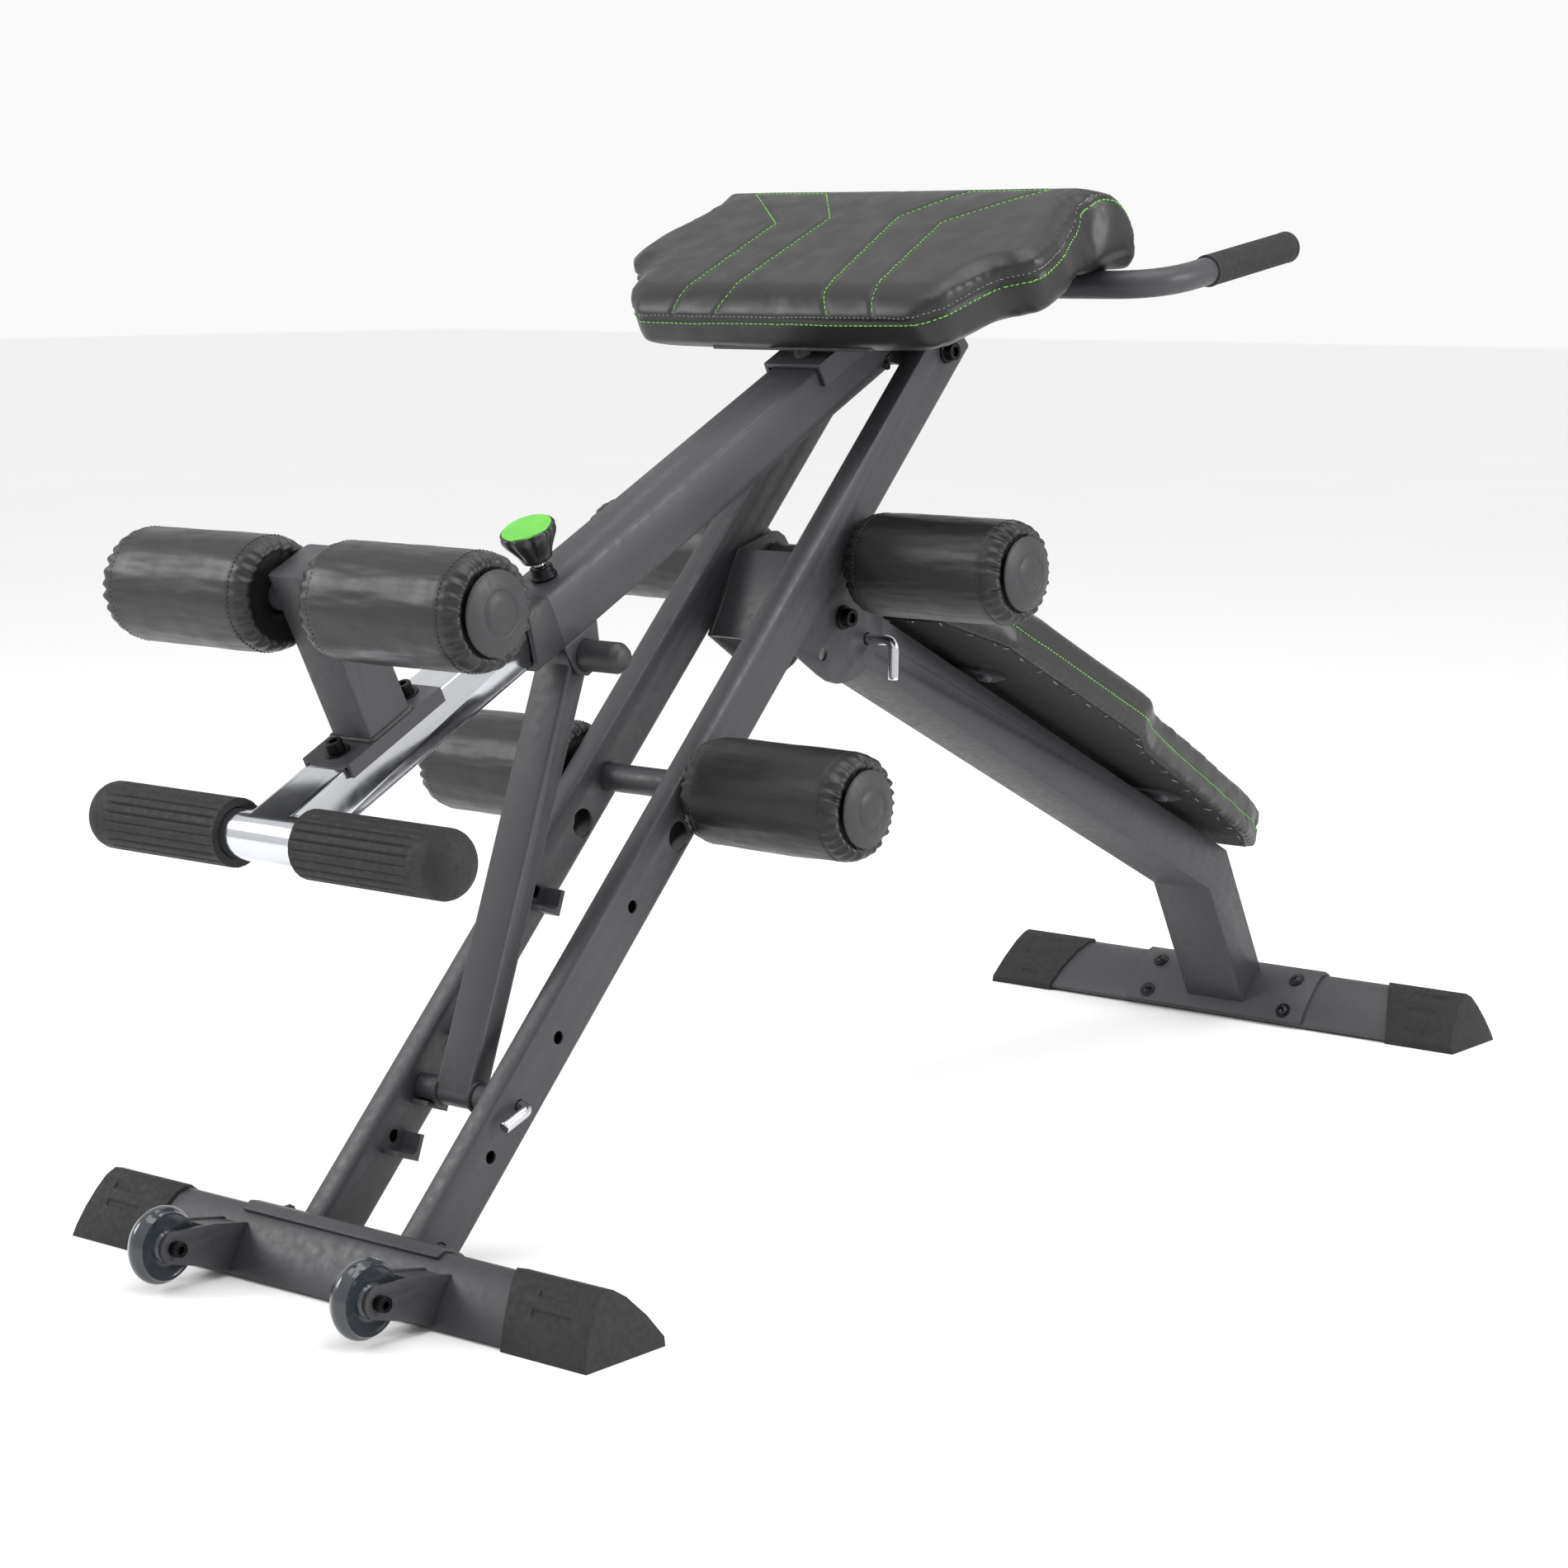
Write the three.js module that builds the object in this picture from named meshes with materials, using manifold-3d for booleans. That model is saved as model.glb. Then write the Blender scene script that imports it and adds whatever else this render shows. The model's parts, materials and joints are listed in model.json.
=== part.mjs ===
// Decline sit up and back extension bench: a leaning twin-rail mast on a front foot carries a
// tilting beam with the hip pad, the telescoping foot slide and its prop, and behind it folds
// the rear beam with the back pad. Millimetres, +Z up, +Y from the front foot to the rear foot,
// +X to the right seen from the front, X = 0 the plane of symmetry.
import * as THREE from 'three';
import { mergeVertices } from 'three/addons/utils/BufferGeometryUtils.js';
import Module from 'manifold-3d';

const wasm = await Module();
wasm.setup();
const deg = THREE.MathUtils.degToRad;

// ---------------------------------------------------------------- driving dimensions
const GAP = 0.3;                 // air kept between pieces that touch
const RUN_CLEAR = 0.6;           // radial clearance of a turning or sliding fit
const ROUND = 24;                // sides of a large round section
const CUT = 1;                   // cutting shapes stand this far proud of what they cut
const OVERRUN = 10;              // and this far where there is room
const WELD_SINK = 0.5;           // by which welded pieces run into each other

// feet: both use the same extruded wedge tube, the rear one turned round
const FOOT_LENGTH = 660;         // over the end caps, along X
const FOOT_SPACING = 1500;       // steep face of the front foot to thin edge of the rear foot
const FOOT_WIDTH = 103;          // over the caps, along Y
const FOOT_HEIGHT = 61;          // over the caps
const FOOT_WALL = 3;
const CAP_WALL = 3;              // rubber sleeve over the tube
const CAP_CREST_LENGTH = 118;    // sleeve length along the crest
const CAP_EDGE_LENGTH = 84;      // sleeve length along the thin edge
const CAP_LEAN = 15;             // of the closed end, from the floor to the crest
const CAP_MOUTH_REACH = 20;      // the mouth's slant is set this far past the steep side
const CAP_MOUTH_STEP = 6;        // longer there than at the thin edge
const CAP_SLOT_RADIUS = 6;       // of the cutter for the shallow slots in the caps
const CAP_SLOT_DEPTH = 1.4;
const CAP_SLOT_INSET = 55;       // middle of a slot from the end of the foot
const SADDLE_LENGTH = 250;       // plates bolted over the feet, along X
const SADDLE_THICK = 4;

// mast: two rectangular rails
const MAST_ANGLE = 45.95;        // above the floor
const MAST_START_Y = 6.5;        // where the front faces of the rails would meet the floor
const TOP_PIVOT_STATION = 1174;  // from the floor line, up the rails
const MAST_LENGTH = TOP_PIVOT_STATION + 31;   // the rails end just past the pivot
const RAIL_WIDTH = 26;
const RAIL_DEPTH = 55;
const RAIL_WALL = 2.5;
const RAIL_ROUND = 5;            // corner radius of the section
const RAIL_START = 20;           // before trimming to the foot
const RAIL_TOP_RUN = 10;         // chamfer at the top end, along and down
const RAIL_TOP_DROP = 13;
const RAIL_GAP = 98;             // between the inner faces
const HOOK_STATIONS = [183, 239, 315, 465];   // prop seats up the rails
const REST_HOOK = 1;             // the seat in use
const HOOK_THICK = 5;
const HOOK_REACH = 20;           // from the inner face of the rail
const HOOK_LIP = 10;             // floor of a hook in front of the seat's centre
const HOOK_RISE = 7;             // back of a hook above the seat's centre
const HOOK_FILLET = 4;           // inside corner of a hook
const PIN_DIAMETER = 11;         // chrome L-pins
const PIN_BEND = 10;
const HOOK_PIN_HANG = 200;       // direction of a pin's handle in the side plane
const HOOK_PIN_HANDLE = 36;
const FOLD_PIN_HANG = 268;
const FOLD_PIN_HANDLE = 40;
const FOLD_PIN_REACH = 24;       // past the inner face of the rail
const PIN_HOLE = PIN_DIAMETER + 2;
const PIVOT_BOLT = 12;

// foam roller axles and rollers
const AXLE_DIAMETER = 28;
const AXLE_BORE = AXLE_DIAMETER - 6;
const ROLLER_DIAMETER = 104;
const ROLLER_LENGTH = 191;
const ROLLER_END_ROUND = 14;
const ROLLER_CAP_DIAMETER = 74;
const ROLLER_CAP_THICK = 8;
const ROLLER_CAP_EDGE = 2;
const ROLLER_PLUG = 26;          // length of the cap's plug in the tube
const ROLLER_GAP = 4;            // roller to what its axle stands in
const ROLLER_DISH = 3;           // ends drawn in at the bore
const LOWER_AXLE_STATION = 611;  // up the rails
const LOWER_AXLE_SPARE = 554;    // second pair of holes
const LOWER_AXLE_DEPTH = 35;     // behind the front faces of the rails
const UPPER_AXLE_STATION = 930;
const UPPER_AXLE_DEPTH = 76;     // behind the front faces, through the ears

// ears that carry the folding rear beam, placed along and behind the rails
const EAR_THICK = 4.5;
const EAR_AXLE_RADIUS = 27;      // of the ear round the upper axle
const EAR_PLATE_TOP = 30;        // ends of the cross plate, below the upper axle
const EAR_PLATE_LOW = 124;
const FOLD_PIVOT_STATION = 887;
const FOLD_PIVOT_DEPTH = 113;
const EAR_RADIUS = 68;           // of the ear round the fold pivot
const FOLD_PIN_RADIUS = 48;      // lock pin hole from the fold pivot
const FOLD_PIN_ANGLE = -32;      // in the side plane, in use
const FOLD_SWING = 101;          // turn of the rear beam to its stored place

// tilting beam, along its own axis from the top pivot
const BEAM_ANGLE = 26.5;         // above the floor, as used
const BEAM_WIDTH = 62;
const BEAM_DEPTH = 56;
const BEAM_WALL = 2.5;
const BEAM_AXIS_OFFSET = 29.5;   // beam centre line above the top pivot
const BEAM_LOWER_END = 595;      // below the pivot, along the beam
const BEAM_UPPER_END = 60;       // past the pivot
const PIVOT_SLEEVE_RADIUS = 15;
const LUG_THICK = 4.5;           // plates joining the pivot sleeve to the beam
const HANGER_THICK = 4;          // cheeks for the prop's rod
const HANGER_CLEAR = 3;
const BUSH_LENGTH = 30;          // collar of the plastic guide at the lower end
const BUSH_SLANT = 12;
const PROP_PIVOT_STATION = 572;  // below the top pivot
const PROP_PIVOT_OFFSET = -20.3; // across the beam, from the pivot line
const KNOB_STATION = 563;
const KNOB_DIAMETER = 55;
const KNOB_HEIGHT = 33;
const KNOB_LIFT = 20;            // underside of the head above the beam
const KNOB_STEM = 4.4;           // radius of the lock pin
const KNOB_HOLE = 7.5;           // radius of its hole in the beam
const KNOB_FLUTES = 8;
const KNOB_FLUTE_RADIUS = 7;
const KNOB_FLUTE_OUT = 3.6;      // flute centres outside the rim
const KNOB_RIM = 3;              // round the disc
const KNOB_DISC_THICK = 1.5;

// telescoping slide
const SLIDE_WIDTH = BEAM_WIDTH - 12;
const SLIDE_DEPTH = BEAM_DEPTH - 10;
const SLIDE_WALL = 2;
const SLIDE_INSIDE = 210;        // overlap inside the beam, as used
const CROSS_STATION = 961;       // cross tube axis below the top pivot, as used
const CROSS_DIAMETER = 46;
const CROSS_WALL = 2.5;
const SLIDE_HOLES = 5;           // lock holes, the middle one in use
const SLIDE_HOLE_PITCH = 40;
const SLIDE_HOLE_RADIUS = 5;
const GRIP_DIAMETER = CROSS_DIAMETER + 16;
const GRIP_LENGTH = 180;
const GRIP_INNER = 48;           // inner end from the centre plane
const GRIP_RIBS = 12;
const GRIP_DOME = 16;            // length of the smooth end's rounding
const GRIP_END_WALL = 9;
const GRIP_SMOOTH = 34;          // length without grooves
const GROOVE_RADIUS = 5.4;
const GROOVE_OUT = 2.4;          // groove centres outside the grip
const POST_STATION = 816;
const POST_WIDTH = 50;
const POST_DEPTH = 55;
const POST_WALL = 2.5;
const POST_SADDLE_THICK = 4;
const POST_TOP = 223;            // above the pivot line, across the beam
const POST_SADDLE_LENGTH = 128;
const POST_SADDLE_SKIRT = 10;    // down the sides of the slide
const FOOT_ROLLER_STATION = 828;
const FOOT_ROLLER_HEIGHT = 194;

// prop strut
const PROP_WIDTH = 44;
const PROP_DEPTH = 26;
const PROP_WALL = 2;
const PROP_FOOT_DIAMETER = 25.4;
const PROP_FOOT_BORE = PROP_FOOT_DIAMETER - 8.4;
const PROP_ROD_DIAMETER = 30;
const PROP_ROD_LENGTH = 158;
const PROP_EYE_WALL = 3.5;
const PROP_VENT_RADIUS = 3;
const PROP_VENT_RISE = 30;       // above the foot

// hip pad and handlebar, in the beam's frame
const HIP_PAD_UNDERSIDE = 80;    // above the pivot line
const HIP_PAD_FRONT = -158;      // lower edge of the front face, along the beam
const HIP_PAD_THICK = 56;
const HIP_PAD_NARROW = 180;      // half width at the front
const HIP_PAD_WIDE = 270;        // half width at the hips
const HIP_PAD_WAIST = 243;       // half width before the roll
const HIP_ROLL_STATION = 89;     // centre of the roll at the upper end
const HIP_ROLL_RADIUS = 50;
const BAR_DIAMETER = 28.6;
const BAR_LIFT = 9.7;            // cross run above the beam's centre line
const BAR_REACH = 303;           // half spread of the hand grips
const BAR_BEND = 62;             // from the corner to where the tube is straight again
const BAR_RISE = 9;              // of the hand grips above the floor
const HAND_GRIP_DIAMETER = BAR_DIAMETER + 4.4;
const HAND_GRIP_LENGTH = 160;
const HAND_GRIP_START = 86;      // behind the cross run
const HAND_GRIP_END = 4;         // thickness over the tube's end
const HIP_BRACKET_FROM = -150;   // saddle of the hip pad, along the beam
const HIP_BRACKET_TO = -30;
const HIP_BRACKET_THICK = 5;
const HIP_BRACKET_SKIRT = 20;
const HIP_POSTS = [-128, -52];
const HIP_POST_RADIUS = 9;
const HIP_PLATE_HALF = 118;      // half length of the cross plates, over their points
const HIP_PLATE_SIDE = 18;       // half width
const HIP_PLATE_THICK = 4;

// rear beam and back pad
const REAR_ANGLE = -26.15;
const REAR_WIDTH = RAIL_GAP - 18;
const REAR_DEPTH = 55;
const REAR_WALL = 3;
const REAR_NOSE = 30;            // in front of the fold pivot
const REAR_LENGTH = 827;         // fold pivot to the mitre, along the centre line
const LEG_ANGLE = -62;
const LEG_DEPTH = 52;
const BACK_PAD_START = 97;       // from the fold pivot, along the beam
const BACK_PAD_LENGTH = 763;
const BACK_PAD_THICK = 54;
const BACK_PAD_CLEAR = 7;        // underside above the beam
const BACK_BRACKETS = [263, 657];
const BACK_BRACKET_SPAN = 150;
const BACK_BRACKET_THICK = 4;
const BACK_BRACKET_NOSE = 26;    // length of the pointed ends
const BACK_BRACKET_HALF = 17;    // half width along the beam

// transport wheels
const WHEEL_DIAMETER = 72;
const WHEEL_WIDTH = 24;
const WHEEL_BORE = 10;
const WHEEL_SPREAD = 130;        // from the centre plane
const WHEEL_REACH = 61;          // in front of the foot
const WHEEL_AXIS_HEIGHT = 41.5;
const FORK_THICK = 4;
const FORK_NOSE = 15;            // round end of an arm about the wheel bolt
const FORK_ROOT = 8;             // lower corner of fork and web, inside the foot
const WEB_CLEAR = 6;             // web to tyre
const WHEEL_CLEAR = 1.5;         // wheel to arm
const WHEEL_BOLT_HEAD = 7.5;     // radius

// ---------------------------------------------------------------- finishes
const finish = (color, roughness, metalness) =>
  new THREE.MeshStandardMaterial({ color, roughness, metalness });
const FRAME_COAT = finish('#3d3b3f', 0.55, 0.3);
const BLACK_STEEL = finish('#1b1b1d', 0.45, 0.6);
const CHROME = finish('#d8dade', 0.12, 1);
const RUBBER = finish('#2c2b2d', 0.8, 0);
const PLASTIC = finish('#3a393c', 0.6, 0);
const VINYL = finish('#161618', 0.42, 0);
const ACCENT = finish('#59b52e', 0.5, 0);
const WHEEL_TYRE = finish('#3a4045', 0.15, 0);

// ---------------------------------------------------------------- shape helpers
// A point of the side plane: first along +Y, then along +Z of the group it is used in.
const pt = (y, z) => new THREE.Vector2(y, z);

function bare(geometry) {
  const plain = geometry.index ? geometry.toNonIndexed() : geometry.clone();
  for (const name of Object.keys(plain.attributes)) {
    if (name !== 'position') plain.deleteAttribute(name);
  }
  return mergeVertices(plain, 1e-4);
}

function toSolid(geometry) {
  const g = bare(geometry);
  return new wasm.Manifold(new wasm.Mesh({
    numProp: 3,
    vertProperties: new Float32Array(g.attributes.position.array),
    triVerts: new Uint32Array(g.index.array),
  }));
}

function toGeometry(solid) {
  const mesh = solid.getMesh();
  const geometry = new THREE.BufferGeometry();
  geometry.setAttribute('position', new THREE.Float32BufferAttribute(mesh.vertProperties, 3));
  geometry.setIndex(new THREE.Uint32BufferAttribute(mesh.triVerts, 1));
  return geometry;
}

const join = (...parts) => toGeometry(parts.map(toSolid).reduce((a, b) => a.add(b)));
const cut = (body, ...tools) =>
  toGeometry(tools.map(toSolid).reduce((a, b) => a.subtract(b), toSolid(body)));
const meet = (a, b) => toGeometry(toSolid(a).intersect(toSolid(b)));

// Extrude a closed side-plane outline (Y, Z) from x0 to x1.
function slab(points, x0, x1, holes = []) {
  const shape = new THREE.Shape(points);
  for (const hole of holes) shape.holes.push(new THREE.Path(hole));
  const g = new THREE.ExtrudeGeometry(shape, { depth: x1 - x0, bevelEnabled: false, steps: 1 });
  const side = new THREE.Matrix4().makeBasis(
    new THREE.Vector3(0, 1, 0), new THREE.Vector3(0, 0, 1), new THREE.Vector3(1, 0, 0));
  side.setPosition(x0, 0, 0);
  return g.applyMatrix4(side);
}

// Extrude an outline given as (X, Z) along Y from y0 to y1.
function bar(points, y0, y1, holes = []) {
  const shape = new THREE.Shape(points);
  for (const hole of holes) shape.holes.push(new THREE.Path(hole));
  const g = new THREE.ExtrudeGeometry(shape, { depth: y1 - y0, bevelEnabled: false, steps: 1 });
  const front = new THREE.Matrix4().makeBasis(
    new THREE.Vector3(1, 0, 0), new THREE.Vector3(0, 0, 1), new THREE.Vector3(0, -1, 0));
  front.setPosition(0, y1, 0);
  return g.applyMatrix4(front);
}

// Extrude an outline given as (X, Y) along Z from z0 to z1.
function deck(points, z0, z1, holes = []) {
  const shape = new THREE.Shape(points);
  for (const hole of holes) shape.holes.push(new THREE.Path(hole));
  const g = new THREE.ExtrudeGeometry(shape, { depth: z1 - z0, bevelEnabled: false, steps: 1 });
  return g.translate(0, 0, z0);
}

const circle = (y, z, r, n = 24) =>
  Array.from({ length: n }, (_, i) => pt(y + r * Math.cos((2 * Math.PI * i) / n),
    z + r * Math.sin((2 * Math.PI * i) / n)));

// Move every edge of a counter-clockwise outline outwards by d (inwards when negative).
function offset(points, d) {
  const n = points.length;
  return points.map((p, i) => {
    const before = p.clone().sub(points[(i + n - 1) % n]).normalize();
    const after = points[(i + 1) % n].clone().sub(p).normalize();
    const k = d / (1 + before.dot(after));
    return pt(p.x + k * (before.y + after.y), p.y - k * (before.x + after.x));
  });
}

// A rectangle with rounded corners, centred on (cy, cz).
function roundRect(cy, cz, w, h, r, n = 2) {
  const out = [];
  const corners = [[1, 1, 0], [-1, 1, 90], [-1, -1, 180], [1, -1, 270]];
  for (const [sy, sz, start] of corners) {
    for (let i = 0; i <= n; i += 1) {
      const a = deg(start + (90 * i) / n);
      out.push(pt(cy + sy * (w / 2 - r) + r * Math.cos(a), cz + sz * (h / 2 - r) + r * Math.sin(a)));
    }
  }
  return out;
}

// A solid round bar and a bored tube along X.
const rodX = (y, z, r, x0, x1, n = ROUND) => slab(circle(y, z, r, n), x0, x1);
const tubeX = (y, z, r, bore, x0, x1, n = ROUND) =>
  slab(circle(y, z, r, n), x0, x1, [circle(y, z, bore, n)]);

// A body turned about X from a profile of (radius, x) that closes on the axis, at (y, z).
function turnedX(profile, y, z, n = ROUND) {
  const g = new THREE.LatheGeometry(profile.map(([r, x]) => new THREE.Vector2(r, x)), n);
  const lay = new THREE.Matrix4().makeBasis(
    new THREE.Vector3(0, 0, 1), new THREE.Vector3(1, 0, 0), new THREE.Vector3(0, 1, 0));
  lay.setPosition(0, y, z);
  return g.applyMatrix4(lay);
}

// A hollow rectangular section along Y.
function boxTube(width, depth, wall, y0, y1, cz = 0, round = 5) {
  return bar(roundRect(0, cz, width, depth, round), y0, y1,
    [roundRect(0, cz, width - 2 * wall, depth - 2 * wall, Math.max(round - wall, 0.5))]);
}

// Outline of a plate with pointed ends, across the beam at y.
const pointedPlate = (half, nose, side, y) => [pt(-half, y), pt(-half + nose, y - side),
  pt(half - nose, y - side), pt(half, y), pt(half - nose, y + side), pt(-half + nose, y + side)];

const mirrorX = (points) => points.map((p) => pt(-p.x, p.y)).reverse();

function piece(name, geometry, material, parent) {
  const mesh = new THREE.Mesh(geometry, material);
  mesh.name = name;
  parent.add(mesh);
  return mesh;
}

function frame(parent, y, z, angle) {
  const group = new THREE.Group();
  group.position.set(0, y, z);
  group.rotation.x = deg(angle);
  parent.add(group);
  return group;
}

// Carry a side-plane point out of a frame at (y0, z0) turned by angle.
function outOf(y0, z0, angle, y, z) {
  const c = Math.cos(deg(angle));
  const s = Math.sin(deg(angle));
  return pt(y0 + y * c - z * s, z0 + y * s + z * c);
}

const SIDES = [['left', -1], ['right', 1]];
const spanX = (side, a, b) => (side > 0 ? [a, b] : [-b, -a]);

const bench = new THREE.Group();

// ---------------------------------------------------------------- derived places
const RAIL_INNER = RAIL_GAP / 2;
const RAIL_OUTER = RAIL_INNER + RAIL_WIDTH;
const onMast = (station, depth) => outOf(MAST_START_Y, 0, MAST_ANGLE, station, -depth);
const TOP_PIVOT = onMast(TOP_PIVOT_STATION, RAIL_DEPTH / 2);
const FOLD_PIVOT = onMast(FOLD_PIVOT_STATION, FOLD_PIVOT_DEPTH);
const LOWER_AXLE = onMast(LOWER_AXLE_STATION, LOWER_AXLE_DEPTH);
const UPPER_AXLE = onMast(UPPER_AXLE_STATION, UPPER_AXLE_DEPTH);
const inBeam = (along, across) => outOf(TOP_PIVOT.x, TOP_PIVOT.y, BEAM_ANGLE, along, across);
const PROP_PIVOT = inBeam(-PROP_PIVOT_STATION, PROP_PIVOT_OFFSET);
const PROP_SEAT = onMast(HOOK_STATIONS[REST_HOOK], RAIL_DEPTH / 2);
const PROP_LENGTH = PROP_PIVOT.distanceTo(PROP_SEAT);
const PROP_ANGLE = THREE.MathUtils.radToDeg(
  Math.atan2(PROP_PIVOT.y - PROP_SEAT.y, PROP_PIVOT.x - PROP_SEAT.x));

// ---------------------------------------------------------------- feet
// Outline over a foot's caps as shares of its width and height, counter-clockwise from the
// bottom of the steep side; u runs from that side, v up from the floor.
const WEDGE = [[0, 0], [0.98, 0], [0.99, 0.13], [0.83, 0.49], [0.63, 0.82], [0.5, 0.96], [0.41, 1],
  [0.31, 0.91], [0.21, 0.71], [0.11, 0.45], [0.03, 0.17]];
const WEDGE_CREST = 6;
// The outline of the tube under the caps, grown outwards by grow.
function footOutline(grow) {
  const over = WEDGE.map(([u, v]) => pt(u * FOOT_WIDTH, v * FOOT_HEIGHT));
  return offset(over, grow - CAP_WALL);
}
const CREST_U = WEDGE[WEDGE_CREST][0] * FOOT_WIDTH;

// The same outline placed in the side plane: the front foot faces -Y with its steep side,
// the rear foot faces +Y with it.
const REAR_FOOT_BACK = FOOT_SPACING + FOOT_WIDTH;
function placed(outline, rear) {
  return rear ? outline.map((p) => pt(REAR_FOOT_BACK - p.x, p.y)).reverse() : outline;
}
const ccw = (points) => (THREE.ShapeUtils.area(points) < 0 ? points.reverse() : points);

// Edges of the outline that carry a shallow slot across a cap, each with the slot's length:
// two on the steep side of the front foot, three on the long side of the rear foot.
const FRONT_SLOTS = [[7, 44], [8, 44]];
const REAR_SLOTS = [[4, 46], [3, 36], [2, 26]];
function slotCutters(rear, sign) {
  const path = footOutline(CAP_WALL + CAP_SLOT_RADIUS - CAP_SLOT_DEPTH);
  return (rear ? REAR_SLOTS : FRONT_SLOTS).map(([edge, length]) => {
    const p = path[edge].clone().add(path[edge + 1]).multiplyScalar(0.5);
    const y = rear ? REAR_FOOT_BACK - p.x : p.x;
    const middle = FOOT_LENGTH / 2 - CAP_SLOT_INSET;
    return rodX(y, p.y, CAP_SLOT_RADIUS, ...spanX(sign, middle - length / 2, middle + length / 2), 12);
  });
}

function footParts(prefix, rear) {
  const half = FOOT_LENGTH / 2;
  const outer = placed(footOutline(0), rear);
  const inner = placed(footOutline(-FOOT_WALL), rear);
  const inside = half - CAP_LEAN - CAP_WALL;
  const tube = slab(outer, -inside + GAP, inside - GAP, [inner]);
  piece(`${prefix}_foot_tube`, tube, FRAME_COAT, bench);

  const shell = placed(footOutline(CAP_WALL), rear);
  const room = placed(footOutline(GAP), rear);
  for (const [side, sign] of SIDES) {
    const sleeve = slab(shell, ...spanX(sign, half - CAP_CREST_LENGTH - OVERRUN, half));
    const cavity = slab(room, ...spanX(sign, 0, inside));
    // the mouth of the sleeve is cut slanting: long over the crest, short at the thin edge
    const crestU = rear ? REAR_FOOT_BACK - CREST_U : CREST_U;
    const edgeU = rear ? REAR_FOOT_BACK - FOOT_WIDTH - OVERRUN : FOOT_WIDTH + OVERRUN;
    const far = rear ? REAR_FOOT_BACK + CAP_MOUTH_REACH : -CAP_MOUTH_REACH;
    const x = (inset) => sign * (half - inset);
    const back = x(CAP_CREST_LENGTH + 2 * OVERRUN);
    const mouth = ccw([pt(back, far), pt(x(CAP_EDGE_LENGTH + CAP_MOUTH_STEP), far),
      pt(x(CAP_CREST_LENGTH), crestU), pt(x(CAP_EDGE_LENGTH), edgeU), pt(back, edgeU)]);
    const trim = deck(mouth, -OVERRUN, FOOT_HEIGHT + OVERRUN);
    // the closed end leans in towards the crest
    const above = FOOT_HEIGHT + OVERRUN;
    const beyond = sign * (half + OVERRUN);
    const lean = bar(ccw([pt(sign * half, 0), pt(sign * (half - CAP_LEAN), FOOT_HEIGHT),
      pt(sign * (half - CAP_LEAN), above), pt(beyond, above), pt(beyond, 0)]),
    -OVERRUN, REAR_FOOT_BACK + OVERRUN);
    const cap = cut(sleeve, cavity, trim, lean, ...slotCutters(rear, sign));
    piece(`${prefix}_foot_cap_${side}`, cap, RUBBER, bench);
  }
}
footParts('front', false);
footParts('rear', true);

// Plate bolted over a foot, bent from the crest down to the thin edge.
function saddlePlate(name, rear) {
  const run = (grow) => footOutline(grow).slice(2, WEDGE_CREST + 2);
  const outline = ccw(placed([...run(GAP + SADDLE_THICK), ...run(GAP).reverse()], rear));
  piece(name, slab(outline, -SADDLE_LENGTH / 2, SADDLE_LENGTH / 2), FRAME_COAT, bench);
}
saddlePlate('front_saddle_plate', false);
saddlePlate('rear_saddle_plate', true);

// Everything under the top of a saddle plate, to trim what stands on it.
function saddleBlock(rear) {
  const top = footOutline(GAP + SADDLE_THICK + GAP).slice(2, WEDGE_CREST + 3);
  const deep = -4 * FOOT_HEIGHT;
  const room = FOOT_HEIGHT;
  const side = [pt(FOOT_WIDTH + room, deep), pt(FOOT_WIDTH + room, top[0].y - room), ...top,
    pt(-room, top[top.length - 1].y - room / 2), pt(-room, deep)];
  return slab(ccw(placed(side, rear)), -0.6 * SADDLE_LENGTH, 0.6 * SADDLE_LENGTH);
}

// ---------------------------------------------------------------- mast rails and hooks
const mast = frame(bench, MAST_START_Y, 0, MAST_ANGLE);
const railMiddle = -RAIL_DEPTH / 2;

function hookOutline(station) {
  // floor square to the prop, lip behind, both tangent to the prop foot with a running gap
  const r = PROP_FOOT_DIAMETER / 2 + RUN_CLEAR;
  const lean = PROP_ANGLE - MAST_ANGLE;       // of the prop against the rails
  const at = (along, across) => outOf(station, railMiddle, lean, along, across);
  const out = r + HOOK_THICK;
  return [at(-r, HOOK_LIP), at(-out, HOOK_LIP), at(-out, -out), at(HOOK_RISE, -out), at(HOOK_RISE, -r),
    at(-r + HOOK_FILLET, -r), at(-r, -r + HOOK_FILLET)];
}

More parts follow.
